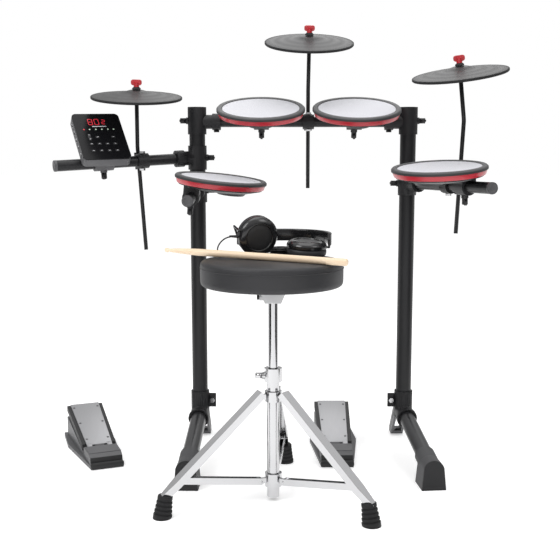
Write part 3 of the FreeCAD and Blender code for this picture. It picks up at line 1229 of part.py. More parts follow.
def make_headband(left_cup, right_cup):
    """Arched band lying on its side, with an arm and a pivot pin to each cup."""
    outer = BAND_RADIUS + BAND_THICKNESS / 2
    inner = BAND_RADIUS - BAND_THICKNESS / 2
    half = BAND_WIDTH / 2
    section = [Vector(inner, 0, -half), Vector(outer, 0, -half),
               Vector(outer, 0, half), Vector(inner, 0, half)]
    face = Part.Face(Part.makePolygon(section + section[:1]))
    band = face.revolve(ORIGIN, UP, BAND_LEFT_END + BAND_RIGHT_END)
    band.rotate(ORIGIN, UP, 90 - BAND_RIGHT_END)
    band.translate(BAND_CENTRE)
    for points, cup in ((LEFT_HANGER, left_cup), (RIGHT_HANGER, right_cup)):
        runs = [rod(PIVOT_RADIUS, start, end) for start, end in zip(points, points[1:])]
        knuckles = [Part.makeSphere(PIVOT_RADIUS, point) for point in points[1:3]]
        arm_solid = runs[0].fuse(runs[1:] + knuckles)
        for solid in cup:
            arm_solid = arm_solid.cut(solid.makeOffsetShape(PIVOT_GAP, 0.01))
        pieces = sorted(arm_solid.Solids, key=lambda solid: (solid.CenterOfMass - points[1]).Length)
        band = band.fuse(pieces[0])
    return [band.removeSplitter()]


# Headphone cord


def biarc(start, start_way, end, end_way):
    """Two arcs that leave one point and reach another along given directions."""
    span = end - start
    spread = 1 - start_way.dot(end_way)
    along = span.dot(start_way + end_way)
    if spread < 1e-9:
        reach = span.dot(span) / (2 * along)
    else:
        reach = (math.sqrt(along ** 2 + 2 * spread * span.dot(span)) - along) / (2 * spread)
    joint = (start + end + (start_way - end_way) * reach) / 2
    joint_way = unit(joint - start - start_way * reach)
    return [tangent_arc(start, start_way, joint), tangent_arc(joint, joint_way, end)]


def tangent_arc(start, way, end):
    """Arc that leaves a point along a direction and ends at another point."""
    chord = end - start
    flat = unit(chord)
    angle = math.acos(max(-1, min(1, way.dot(flat))))
    bulge = unit(flat * way.dot(flat) - way) * -1
    middle = (start + end) / 2 + bulge * (chord.Length / 2 * math.tan(angle / 2))
    return Part.Arc(start, middle, end).toShape()


def rounded_path(points):
    """Straight runs joined by arcs as large as the runs allow, and the arcs' radii."""
    edges = []
    radii = []
    last = points[0]
    for before, corner, after in zip(points, points[1:], points[2:]):
        first = unit(corner - before)
        second = unit(after - corner)
        back = 0.45 * min((corner - before).Length, (after - corner).Length)
        half_turn = math.acos(max(-1, min(1, first.dot(second)))) / 2
        radius = back / math.tan(half_turn)
        middle = corner + unit(second - first) * radius * (1 / math.cos(half_turn) - 1)
        edges.append(Part.makeLine(last, corner - first * back))
        edges.append(Part.Arc(corner - first * back, middle, corner + second * back).toShape())
        last = corner + second * back
        radii.append(radius)
    edges.append(Part.makeLine(last, points[-1]))
    return Part.Wire(edges), radii


def swept(path, radius, start, way):
    """Round section carried along a path."""
    ring = Part.Wire([Part.makeCircle(radius, start, way)])
    return path.makePipeShell([ring], True, False)


def coil_stations():
    """Points and directions of the coil, spiralling in and out by layers, then down to the seat."""
    reach = math.hypot(COIL_CENTRE.x - THRONE_X, COIL_CENTRE.y - THRONE_Y)
    outer = COIL_INNER_RADIUS + COIL_PITCH * COIL_LOOPS_PER_LAYER + CORD_DIAMETER
    base = COIL_CENTRE + UP * (crown_height(reach - outer) + CORD_DIAMETER / 2 + REST_GAP)
    turns = 2 * COIL_LOOPS_PER_LAYER
    stations = []
    half_turns = 0
    for layer in range(COIL_LAYERS):
        for step in range(turns + 1):
            share = turns - step if layer % 2 == 0 else step
            radius = COIL_INNER_RADIUS + COIL_PITCH * share / 2
            turn = math.pi * (COIL_START / 2 + half_turns)
            spoke = Vector(math.cos(turn), math.sin(turn), 0)
            stations.append((base + spoke * radius + UP * (layer * COIL_PITCH), UP.cross(spoke)))
            half_turns += 1
    top, way = stations[-1]
    low = top + way * COIL_TAIL
    stations.append((on_seat(low.x, low.y, PLUG_RADIUS + REST_GAP), way))
    return stations


def make_coil():
    """The put-away length of cord as one unbroken tube of loops."""
    stations = coil_stations()
    edges = []
    for (start, start_way), (end, end_way) in zip(stations, stations[1:]):
        edges += biarc(start, start_way, end, end_way)
    first, first_way = stations[0]
    last, last_way = stations[-1]
    entry = first - first_way * CORD_DIAMETER
    exit_point = last + last_way * CORD_DIAMETER
    edges = [Part.makeLine(entry, first)] + edges + [Part.makeLine(last, exit_point)]
    path = Part.Wire(edges)
    return swept(path, CORD_DIAMETER / 2, entry, first_way), path, entry, first_way, exit_point, last_way


def least_gap(path, diameter):
    """Smallest distance between turns of one tube, measured on points of its middle line."""
    points = path.discretize(Distance=diameter / 2)
    skip = 12
    least = 1e9
    for number, point in enumerate(points):
        for other in points[number + skip:]:
            least = min(least, (point - other).Length)
    return least - diameter


def make_plug(point, way):
    """Moulded plug with its contact pin."""
    body = rod(PLUG_RADIUS, point, point + way * PLUG_LENGTH)
    pin = rod(PLUG_PIN_RADIUS, point + way * PLUG_LENGTH, point + way * (PLUG_LENGTH + PLUG_PIN_LENGTH))
    return [body.fuse(pin)]


def build():
    """All pieces of the kit by node name, still in the rack's own layout."""
    nodes = {}
    nodes["rack_posts"] = make_posts()
    nodes["crossbar"] = make_crossbar()
    nodes["top_tees"], bolts = make_top_tees()
    bases = [make_base(LEFT_POST, LEFT_LEG_SPLAY, RIGHT_WAY),
             make_base(RIGHT_POST, RIGHT_LEG_SPLAY, -RIGHT_WAY)]
    nodes["base_fittings"] = [shape for elbow, bolt, foot in bases for shape in (elbow, foot)]
    bolts += [bolt for elbow, bolt, foot in bases]
    legs = [make_leg(LEFT_POST, LEFT_LEG_SPLAY), make_leg(RIGHT_POST, RIGHT_LEG_SPLAY)]
    nodes["front_legs"] = [leg for leg, boot in legs]
    nodes["leg_boots"] = [boot for leg, boot in legs]
    left_tee, snare_tee, right_tee = make_arm_tees()
    nodes["left_arm"] = arm(LEFT_POST, LEFT_ARM_HEIGHT, LEFT_ARM_REACH, LEFT_ARM)
    nodes["left_arm_clamps"] = left_tee
    nodes["snare_arm"] = arm(LEFT_POST, SNARE_ARM_HEIGHT, SNARE_ARM_REACH, SNARE_ARM)
    nodes["snare_arm_tee"] = snare_tee
    nodes["right_arm"] = arm(RIGHT_POST, RIGHT_ARM_HEIGHT, RIGHT_ARM_REACH, RIGHT_ARM)
    nodes["right_arm_clamps"] = right_tee
    for name, (bar_point, bar_way, toward_bar, normal) in PAD_PLANS.items():
        shell, hoop, head = make_pad(bar_point, bar_way, toward_bar, normal)
        nodes[name + "_shell"] = shell
        nodes[name + "_hoop"] = hoop
        nodes[name + "_head"] = head
    for name, (bar_point, bar_way, side, rod_way, bottom, bend, cymbal) in ROD_PLANS.items():
        low, knee, top = rod_points(bar_point + side * ROD_OFFSET, rod_way, bottom, bend, cymbal)
        axis = unit(top - knee)
        clamp = rod_clamp(bar_point, bar_way, side, rod_way)
        if name == "centre":
            nodes["centre_rod_clamp"] = clamp
        else:
            nodes[name + "_arm_clamps"] += clamp
        nodes[name + "_rod"] = make_rod(low, knee, top, cymbal)
        nodes[name + "_cymbal"] = make_cymbal(cymbal, axis)
        nodes[name + "_wing_nut"] = make_nut(cymbal, axis)
    nodes["module_case"], nodes["module_panel"] = make_module()
    nodes["volume_key"] = make_volume_key()
    for name, spots in KEY_ROWS.items():
        nodes[name] = make_keys(spots)
    places = {"left": pedal_place(LEFT_PEDAL_HEEL, LEFT_PEDAL_TURN),
              "right": pedal_place(RIGHT_PEDAL_HEEL, RIGHT_PEDAL_TURN)}
    nodes["pedal_bases"] = [moved(make_pedal_base(), place) for place in places.values()]
    nodes["pedal_pins"] = [moved(pin, place) for place in places.values() for pin in make_pedal_pin()]
    for name, place in places.items():
        nodes[name + "_footboard"] = [moved(piece, place) for piece in make_footboard()]
    nodes["throne_column"] = make_column()
    collar, collar_bolt = make_height_clamp()
    upper = hub(UPPER_HUB_HEIGHT, UPPER_HUB_LENGTH, LEG_PIVOT_OUT)
    lower = hub(LOWER_HUB_HEIGHT, LOWER_HUB_LENGTH, LEG_PIVOT_OUT)
    rivets = make_rivets()
    for rivet in round_throne(rivets):
        upper = upper.cut(rivet)
        lower = lower.cut(rivet)
    nodes["throne_hubs"] = [collar, upper, lower]
    brace = make_brace()
    foot = make_throne_foot()
    leg = make_throne_leg()
    for rivet in rivets:
        brace = [strap.cut(rivet) for strap in brace]
    nodes["throne_legs"] = round_throne([leg])
    nodes["throne_braces"] = round_throne(brace)
    nodes["throne_feet"] = round_throne([foot])
    nodes["fasteners"] = bolts + [collar_bolt] + round_throne(rivets)
    nodes["seat_tube"] = make_seat_tube()
    nodes["seat_bracket"] = make_seat_bracket()
    nodes["seat_cushion"] = make_cushion()
    nodes["drumstick"] = make_stick()
    nodes["left_ear_cup"] = make_cup(LEFT_CUP, LEFT_CUP_AXIS)
    nodes["right_ear_cup"] = make_cup(RIGHT_CUP, RIGHT_CUP_AXIS)
    nodes["headband"] = make_headband(nodes["left_ear_cup"], nodes["right_ear_cup"])
    return nodes


def make_cord(nodes):
    """Cord from the left cup over the seat to the coil, the coil and the plug."""
    coil, path, entry, entry_way, exit_point, exit_way = make_coil()
    lie = CORD_DIAMETER / 2 + REST_GAP
    start = LEFT_CUP + CORD_EXIT
    route = [start, start + Vector(-16, -5, 1), Vector(-179.0, -322.0, 558.0), Vector(-188.0, -313.0, 544.0),
             Vector(-189.0, -301.0, 532.0), on_seat(-180.0, -291.0, lie + 3), on_seat(-165.0, -285.0, lie),
             on_seat(-148.0, -282.0, lie), on_seat(-130.0, -281.0, lie), on_seat(-108.0, -281.5, lie),
             entry - entry_way * 22, entry]
    wire, radii = rounded_path(route)
    print("cord radii", [round(radius, 1) for radius in radii])
    print("coil least gap", round(least_gap(path, CORD_DIAMETER), 2))
    print("cord length", round(path.Length + wire.Length))
    cord = swept(wire, CORD_DIAMETER / 2, start, unit(route[1] - start))
    section = math.pi * CORD_DIAMETER ** 2 / 4
    print("cord volume over section times length", round(cord.Volume / wire.Length / section, 4))
    nodes["headphone_cord"] = [cord]
    nodes["headphone_coil"] = [coil]
    nodes["headphone_plug"] = make_plug(exit_point, exit_way)


nodes = build()
everything = Part.makeCompound([solid for solids in nodes.values() for solid in solids])
box = everything.optimalBoundingBox(False, False)
SHIFT = Vector(-box.Center.x, -box.Center.y, -box.ZMin)
make_cord(nodes)

os.makedirs("parts", exist_ok=True)
for name, solids in nodes.items():
    shape = solids[0] if len(solids) == 1 else Part.makeCompound(solids)
    shape.translate(SHIFT)
    shape.exportStep("parts/" + name + ".step")
print("nodes", len(nodes), "size", round(box.XLength), round(box.YLength), round(box.ZLength))
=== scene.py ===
import contextlib
import math
import bpy
from mathutils import Matrix, Vector


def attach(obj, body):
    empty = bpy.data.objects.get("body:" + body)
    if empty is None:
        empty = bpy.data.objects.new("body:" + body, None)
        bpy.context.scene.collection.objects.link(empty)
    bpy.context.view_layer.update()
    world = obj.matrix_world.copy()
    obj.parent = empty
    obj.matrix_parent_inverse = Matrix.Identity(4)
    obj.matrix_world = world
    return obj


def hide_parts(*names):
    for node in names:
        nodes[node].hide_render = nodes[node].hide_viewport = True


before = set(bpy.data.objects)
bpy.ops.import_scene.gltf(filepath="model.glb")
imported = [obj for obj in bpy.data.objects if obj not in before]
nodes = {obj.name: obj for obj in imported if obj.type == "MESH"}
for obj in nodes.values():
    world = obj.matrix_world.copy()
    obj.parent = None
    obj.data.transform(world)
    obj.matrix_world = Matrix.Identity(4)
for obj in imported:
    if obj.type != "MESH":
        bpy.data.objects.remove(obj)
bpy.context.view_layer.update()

# Studio: the camera stands in front of the player's seat, a little above it, and looks slightly
# down. A pale floor lies under even white light and four soft lamps.
look_down = 7.79
scene = bpy.context.scene
scene.view_settings.view_transform = "Standard"
lens = bpy.data.cameras.new("camera")
lens.sensor_width = 36
lens.lens = 59.44
camera = bpy.data.objects.new("camera", lens)
camera.location = (0.0335, -2.0881, 0.741)
camera.rotation_euler = (math.radians(90 - look_down), 0, 0)
scene.collection.objects.link(camera)
scene.camera = camera

wall_greys = ((0.0, 0.5), (0.42, 0.34), (0.55, 0.3), (0.7, 0.72), (1.0, 1.0))
world = bpy.data.worlds.new("white_room")
world.use_nodes = True
room = world.node_tree
seen = room.nodes["Background"]
seen.inputs["Color"].default_value = (1, 1, 1, 1)
lighting = room.nodes.new("ShaderNodeBackground")
direction = room.nodes.new("ShaderNodeTexCoord")
height = room.nodes.new("ShaderNodeSeparateXYZ")
shade = room.nodes.new("ShaderNodeValToRGB")
while len(shade.color_ramp.elements) < len(wall_greys):
    shade.color_ramp.elements.new(1.0)
for stop, (spot, grey) in zip(shade.color_ramp.elements, wall_greys):
    stop.position = spot
    stop.color = (grey, grey, grey, 1)
share = room.nodes.new("ShaderNodeMath")
share.operation = "MULTIPLY_ADD"
share.inputs[1].default_value = 0.5
share.inputs[2].default_value = 0.5
ray = room.nodes.new("ShaderNodeLightPath")
choice = room.nodes.new("ShaderNodeMixShader")
for source, target in ((direction.outputs["Generated"], height.inputs[0]),
                       (height.outputs["Z"], share.inputs[0]),
                       (share.outputs[0], shade.inputs[0]),
                       (shade.outputs[0], lighting.inputs["Color"]),
                       (ray.outputs["Is Camera Ray"], choice.inputs[0]),
                       (lighting.outputs[0], choice.inputs[1]),
                       (seen.outputs[0], choice.inputs[2]),
                       (choice.outputs[0], room.nodes["World Output"].inputs["Surface"])):
    room.links.new(source, target)
scene.world = world

kit_middle = Vector((0.05, 0, 0.55))
for name, spot, size, power in (("lamp_left", (-1.9, -1.7, 2.3), 1.5, 34),
                                ("lamp_right", (1.9, -1.5, 2.4), 1.2, 12),
                                ("lamp_back", (0.3, 1.8, 2.6), 1.8, 14),
                                ("lamp_top", (0.0, -0.3, 3.2), 2.2, 24)):
    light = bpy.data.lights.new(name, "AREA")
    light.size = size
    light.energy = power
    lamp = bpy.data.objects.new(name, light)
    lamp.location = spot
    lamp.rotation_euler = (kit_middle - Vector(spot)).to_track_quat("-Z", "Y").to_euler()
    scene.collection.objects.link(lamp)

floor_width = 60
bpy.ops.object.select_all(action="DESELECT")
bpy.ops.mesh.primitive_plane_add(size=floor_width, location=(0, 0, 0))
floor = bpy.context.object
floor.name = "floor"
card_size = (0.9, 1.5, 1)
cards = []
for name, spot in (("card_left", (-1.15, -0.75, 0.45)), ("card_right", (1.2, -0.75, 0.45))):
    bpy.ops.object.select_all(action="DESELECT")
    bpy.ops.mesh.primitive_plane_add(size=1, location=spot, rotation=(0, math.radians(90), 0))
    card = bpy.context.object
    card.name = name
    card.scale = card_size
    card.visible_camera = False
    card.visible_diffuse = False
    card.visible_shadow = False
    cards.append(card)


class Field:
    """A socket of a finish's nodes. Sums and products of fields add Math nodes."""

    def __init__(self, tree, socket):
        self.tree = tree
        self.socket = socket

    def node(self, kind, settings, inputs, output=0):
        """Any node: its settings first, then the values or links of its sockets."""
        made = self.tree.nodes.new(kind)
        for name, value in settings.items():
            if name == "stops":
                ramp = made.color_ramp.elements
                while len(ramp) < len(value):
                    ramp.new(1.0)
                for stop, (spot, shade) in zip(ramp, value):
                    stop.position = spot
                    stop.color = (*shade, 1)
            else:
                setattr(made, name, value)
        for name, value in inputs.items():
            if isinstance(value, Field):
                self.tree.links.new(value.socket, made.inputs[name])
            else:
                made.inputs[name].default_value = value
        return Field(self.tree, made.outputs[output])

    def maths(self, operation, first, second=0.0):
        return self.node("ShaderNodeMath", {"operation": operation}, {0: first, 1: second})

    def __add__(self, other):
        return self.maths("ADD", self, other)

    def __sub__(self, other):
        return self.maths("SUBTRACT", self, other)

    def __rsub__(self, other):
        return self.maths("SUBTRACT", other, self)

    def __mul__(self, other):
        return self.maths("MULTIPLY", self, other)

    __radd__ = __add__
    __rmul__ = __mul__

    def feed(self, name):
        """Leads the field to one of the shader's sockets."""
        self.tree.links.new(self.socket, self.tree.nodes["Principled BSDF"].inputs[name])

    def noise(self, scale, detail=2.0):
        return self.node("ShaderNodeTexNoise", {}, {"Vector": self, "Scale": scale, "Detail": detail})

    def grain(self, scale, feature="F1"):
        """Small cells, as on moulded plastic and leatherette."""
        return self.node("ShaderNodeTexVoronoi", {"feature": feature}, {"Vector": self, "Scale": scale})

    def axis(self, letter):
        """One of the three coordinates."""
        return self.node("ShaderNodeSeparateXYZ", {}, {"Vector": self}, letter)

    def rise(self, low, high):
        """0 below low, 1 above high, and an even slope between them."""
        return self.node("ShaderNodeMapRange", {}, {"Value": self, "From Min": low, "From Max": high})

    def wave(self, length):
        """Sine of the field, with a crest at every length."""
        return self.maths("SINE", self * (2 * math.pi / length))

    def blend(self, low, high):
        """Colour between two, with the field as the share of the second."""
        return self.node("ShaderNodeMix", {"data_type": "RGBA"}, {0: self, 6: (*low, 1), 7: (*high, 1)}, 2)

    def relief(self, strength, distance):
        """The field as the surface's height."""
        bump = {"Strength": strength, "Distance": distance, "Height": self}
        self.node("ShaderNodeBump", {}, bump).feed("Normal")


def finish(name, colour, roughness, fixed=None, layout="Object"):
    """New material with a shader's plain values, and the coordinates its patterns read."""
    material = bpy.data.materials.new(name)
    material.use_nodes = True
    shader = material.node_tree.nodes["Principled BSDF"]
    shader.inputs["Base Color"].default_value = (*colour, 1)
    shader.inputs["Roughness"].default_value = roughness
    for socket, value in (fixed or {}).items():
        shader.inputs[socket].default_value = value
    if layout == "Object":
        spots = material.node_tree.nodes.new("ShaderNodeTexCoord").outputs["Object"]
    else:
        place = material.node_tree.nodes.new("ShaderNodeAttribute")
        place.attribute_name = layout
        spots = place.outputs["Vector"]
    return material, Field(material.node_tree, spots)


def dress(piece, material):
    """Gives the whole piece one finish."""
    if piece.material_slots:
        for slot in piece.material_slots:
            slot.material = material
    else:
        piece.data.materials.append(material)


paper, spots = finish("pale_floor", (0.92, 0.92, 0.92), 0.8, {
    "Emission Color": (1, 1, 1, 1), "Emission Strength": 0.3, "Specular IOR Level": 0.1})
(spots.noise(3.0) * 0.02 + 0.68).feed("Roughness")
dress(floor, paper)
card_black, spots = finish("card_black", (0.02, 0.02, 0.02), 0.9)
(spots.noise(4.0) * 0.1 + 0.85).feed("Roughness")
for card in cards:
    dress(card, card_black)

# Rack tubes: steel tube, powder coated satin black. The posts stand in the elbows, the
# crossbar and the three arms are pushed into their tees, and each arm ends in a plug.
powder_black, spots = finish("powder_black", (0.012, 0.012, 0.013), 0.36, {"Specular IOR Level": 0.32})
mottle = spots.noise(7.0, 3.0)
(mottle * 0.12 + 0.3).feed("Roughness")
(mottle * 0.9 - 0.1).blend((0.009, 0.009, 0.01), (0.018, 0.018, 0.02)).feed("Base Color")
spots.noise(1400.0, 2.0).relief(0.25, 0.0001)
for name in ("rack_posts", "crossbar", "left_arm", "snare_arm", "right_arm"):
    dress(nodes[name], powder_black)

# Tees, elbows and clamps: glass-filled nylon, moulded with a fine grain, black. Bolts with
# wings or six-sided heads pull them tight on the tubes. The two rear feet are moulded grey.
nylon, spots = finish("grained_nylon", (0.011, 0.011, 0.012), 0.5, {"Specular IOR Level": 0.35})
(spots.noise(9.0, 3.0) * 0.16 + 0.42).feed("Roughness")
spots.noise(5.0, 3.0).blend((0.008, 0.008, 0.009), (0.017, 0.017, 0.019)).feed("Base Color")
spots.grain(1500.0).relief(0.3, 0.00012)
bolt_steel, spots = finish("bolt_steel", (0.5, 0.5, 0.51), 0.2, {"Metallic": 1.0})
(spots.noise(60.0, 3.0) * 0.12 + 0.14).feed("Roughness")
foot_grey, spots = finish("foot_grey", (0.07, 0.07, 0.074), 0.5)
(spots.noise(12.0, 3.0) * 0.15 + 0.42).feed("Roughness")
spots.grain(1400.0).relief(0.3, 0.0001)
bolt_size = 0.03
rear_foot_depth = 0.115


def pick(piece):
    """Makes the piece the only one selected, and the active one."""
    bpy.ops.object.select_all(action="DESELECT")
    piece.select_set(True)
    bpy.context.view_layer.objects.active = piece


@contextlib.contextmanager
def editing(piece):
    """Edit mode on one piece, with all of its mesh selected."""
    pick(piece)
    bpy.ops.object.mode_set(mode="EDIT")
    bpy.ops.mesh.select_all(action="SELECT")
    yield
    bpy.ops.object.mode_set(mode="OBJECT")


def break_edges(piece, width, segments, steepest):
    """Rounds those edges of the active piece that are sharper than an angle in degrees."""
    bevel = piece.modifiers.new("edge", "BEVEL")
    bevel.width = width
    bevel.segments = segments
    bevel.limit_method = "ANGLE"
    bevel.angle_limit = math.radians(steepest)
    bpy.ops.object.modifier_apply(modifier="edge")


def copy_of(piece, name):
    """A copy with a mesh of its own."""
    copy = piece.copy()
    copy.data = piece.data.copy()
    copy.name = name
    scene.collection.objects.link(copy)
    return copy


def fix(piece, body, slot, *stood_for):
    """Says which body carries a piece, and hides the nodes that it is shown instead of. The slot is not
    used.
    """
    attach(piece, body)
    if stood_for:
        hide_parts(*stood_for)


def solids_of(node, soften=0.0):
    """The separate solids of a node as pieces of their own, the longest first. Soften rounds edges."""
    world_place = nodes[node].matrix_world.copy()
    piece = copy_of(nodes[node], node + "_solid")
    for key in list(piece.keys()):
        del piece[key]
    piece.parent = None
    piece.matrix_world = world_place
    pick(piece)
    bpy.ops.object.transform_apply(location=True, rotation=True, scale=True)
    with editing(piece):
        bpy.ops.mesh.remove_doubles(threshold=1e-6)
        bpy.ops.mesh.separate(type="LOOSE")
    found = sorted(bpy.context.selected_objects, key=lambda solid: -solid.dimensions.length)
    for number, solid in enumerate(found):
        pick(solid)
        if soften:
            with editing(solid):
                bpy.ops.mesh.dissolve_limited(angle_limit=math.radians(0.5))
            break_edges(solid, soften, 2, 50)
        solid.name = node + "_skin_" + str(number + 1)
        solid.data.name = solid.name
        bpy.ops.object.shade_smooth_by_angle(angle=math.radians(30))
    return found


for name in ("top_tees", "snare_arm_tee"):
    dress(nodes[name], nylon)
for name, body in (("left_arm_clamps", "left_arm"), ("right_arm_clamps", "right_arm"),
                   ("centre_rod_clamp", "rack"), ("base_fittings", "rack")):
    for solid in solids_of(name):
        bolt = solid.dimensions.length < bolt_size
        rear_foot = name == "base_fittings" and solid.dimensions.y > rear_foot_depth
        dress(solid, bolt_steel if bolt else foot_grey if rear_foot else nylon)
        fix(solid, body, "fitting_plastic", name)


# Bolt heads and end plugs: bright six-sided heads above and below on the rod clamps, and grey
# nylon plugs pressed into the open ends of the three arms.
def turn(name, profile, sides, soften=0.0):
    """Round piece about Z: a circle extruded ring by ring through radius and height pairs."""
    bpy.ops.object.select_all(action="DESELECT")
    bpy.ops.mesh.primitive_circle_add(vertices=sides, radius=profile[0][0], location=(0, 0, profile[0][1]))
    piece = bpy.context.object
    piece.name = name
    bpy.ops.object.transform_apply(location=True, rotation=True, scale=True)
    with editing(piece):
        for (radius, height), (next_radius, next_height) in zip(profile, profile[1:]):
            bpy.ops.mesh.extrude_edges_move(TRANSFORM_OT_translate={"value": (0, 0, next_height - height)})
            grow = max(next_radius, 1e-7) / radius
            bpy.ops.transform.resize(value=(grow, grow, 1), center_override=(0, 0, 0))
        bpy.ops.mesh.select_all(action="SELECT")
        bpy.ops.mesh.remove_doubles(threshold=1e-5)
        bpy.ops.mesh.normals_make_consistent(inside=False)
    if soften:
        break_edges(piece, soften, 3, 25)
    bpy.ops.object.shade_smooth_by_angle(angle=math.radians(35))
    return piece


def set_down(piece, origin, back, up):
    """Puts a piece made about the origin in its place, in its mesh."""
    z = Vector(up).normalized()
    y = Vector(back) - z * Vector(back).dot(z)
    y.normalize()
    turned = Matrix((y.cross(z), y, z)).transposed().to_4x4()
    piece.matrix_world = Matrix.Translation(origin) @ turned
    pick(piece)
    bpy.ops.object.transform_apply(location=True, rotation=True, scale=True)


bolt_profile = [(0.0068, -0.0046), (0.0068, -0.0008), (0.006, 0.0003), (0.0, 0.0003)]
bolt_reach = 0.0224
for name, body, bolt in (("centre", "rack", (0.1022, 0.1849, 0.817)),
                         ("left", "left_arm", (-0.2925, 0.1209, 0.7236)),
                         ("right", "right_arm", (0.4144, 0.0109, 0.669))):
    for number, side in enumerate((1, -1)):
        head = turn(name + "_bolt_head_" + str(number + 1), bolt_profile, 6)
        set_down(head, Vector(bolt) + Vector((0, 0, side * bolt_reach)), (1, 0, 0), (0, 0, side))
        dress(head, bolt_steel)
        fix(head, body, "fitting_plastic")
end_profile = [(0.0125, -0.006), (0.013, -0.0055), (0.013, -0.001), (0.0122, 0.0003), (0.009, 0.0005),
               (0.0084, 0.0001), (0.0, 0.0001)]
for name, end, way in (("left_arm", (-0.4795, 0.0252, 0.7126), (-0.889, -0.4549, -0.0523)),
                       ("snare_arm", (-0.1675, -0.0767, 0.6383), (0, -0.9986, -0.0523)),
                       ("right_arm", (0.4784, -0.1482, 0.669), (0.373, -0.9278, 0))):
    plug = turn(name + "_end_plug", end_profile, 48)
    set_down(plug, end, (0, 0, 1), way)
    dress(plug, foot_grey)
    fix(plug, name, "fitting_plastic")

# Front legs: the same tube with a smoother dark grey coat, on which the light draws long
# streaks. Each leg is pushed into its elbow and stands in a boot.
leg_grey, spots = finish("leg_grey", (0.03, 0.03, 0.032), 0.3, {"Metallic": 0.35})
(spots.noise(6.0, 3.0) * 0.14 + 0.24).feed("Roughness")
spots.noise(1200.0, 2.0).relief(0.15, 0.0001)
dress(nodes["front_legs"], leg_grey)

# Boots: rubber mouldings pushed over the legs' ends, with an arched flat front. Their sides are painted grey
# as painted light and their front black as painted shade. The same black rubber makes the throne's feet and
# the strips round the cymbals.
boot_rubber, spots = finish("boot_rubber", (0.01, 0.01, 0.011), 0.7, {"Specular IOR Level": 0.3})
dust = spots.noise(14.0, 4.0)
(dust * 0.25 + 0.55).feed("Roughness")
dust.blend((0.007, 0.007, 0.008), (0.017, 0.017, 0.018)).feed("Base Color")
spots.noise(900.0, 3.0).relief(0.35, 0.0002)
# Painted light and shade on the boots: black on the front face, grey from just behind it.
front_end, side_light_start = -0.117, -0.116
boot_grey, spots = finish("boot_grey", (0.06, 0.06, 0.063), 0.6, {"Specular IOR Level": 0.3})
side_light_share = spots.axis("Y").rise(front_end, side_light_start) * 0.8 + spots.noise(14.0, 4.0) * 0.2
side_light_share.blend((0.012, 0.012, 0.013), (0.07, 0.07, 0.073)).feed("Base Color")
spots.noise(900.0, 3.0).relief(0.35, 0.0002)
dress(nodes["leg_boots"], boot_grey)

# Drum pads: a black shell with its clamp carries a red hoop, a grey rubber rim and a white
# mesh head that is drawn tight under the rim. Hoop, rim and head are turned shapes.
hoop_red, spots = finish("hoop_red", (0.42, 0.018, 0.03), 0.3, {
    "Coat Weight": 0.25, "Coat Roughness": 0.15})
(spots.noise(20.0, 3.0) * 0.12 + 0.26).feed("Roughness")
spots.noise(12.0, 2.0).blend((0.36, 0.012, 0.022), (0.5, 0.024, 0.04)).feed("Base Color")
# Painted light and shade on the rim: its top painted pale, its outer side painted dark.
side_shade_end, top_light_start = -0.0045, -0.0005
rim_rubber, spots = finish("rim_rubber", (0.06, 0.06, 0.062), 0.62, None, "own")
(spots.noise(30.0, 3.0) * 0.2 + 0.5).feed("Roughness")
top_light_share = spots.axis("Z").rise(side_shade_end, top_light_start) * 0.85 + spots.noise(18.0, 3.0) * 0.15
top_light_share.blend((0.016, 0.016, 0.017), (0.085, 0.085, 0.088)).feed("Base Color")
spots.noise(1100.0, 2.0).relief(0.25, 0.00015)
shell_black, spots = finish("shell_black", (0.014, 0.014, 0.016), 0.48)
(spots.noise(10.0, 3.0) * 0.15 + 0.4).feed("Roughness")
spots.grain(1300.0).relief(0.3, 0.0001)
thread = 0.0011
mesh_white, spots = finish("mesh_white", (0.72, 0.72, 0.76), 0.75, {"Sheen Weight": 0.2}, "own")
warp = spots.axis("X").wave(thread)
weft = spots.axis("Y").wave(thread)
weave = warp.maths("ABSOLUTE", warp) * 0.5 + weft.maths("ABSOLUTE", weft) * 0.5
weave.blend((0.5, 0.5, 0.535), (0.64, 0.64, 0.68)).feed("Base Color")
weave.relief(0.5, 0.0003)


def close_ends(piece):
    """Fills the open ends of a turned piece."""
    with editing(piece):
        bpy.ops.mesh.fill_holes(sides=0)
        bpy.ops.mesh.normals_make_consistent(inside=False)


def keep_places(piece):
    """Keeps each point's place on the unplaced piece, in metres, for patterns that follow its form."""
    places = piece.data.attributes.new("own", "FLOAT_VECTOR", "POINT")
    for number, vertex in enumerate(piece.data.vertices):
        places.data[number].vector = vertex.co


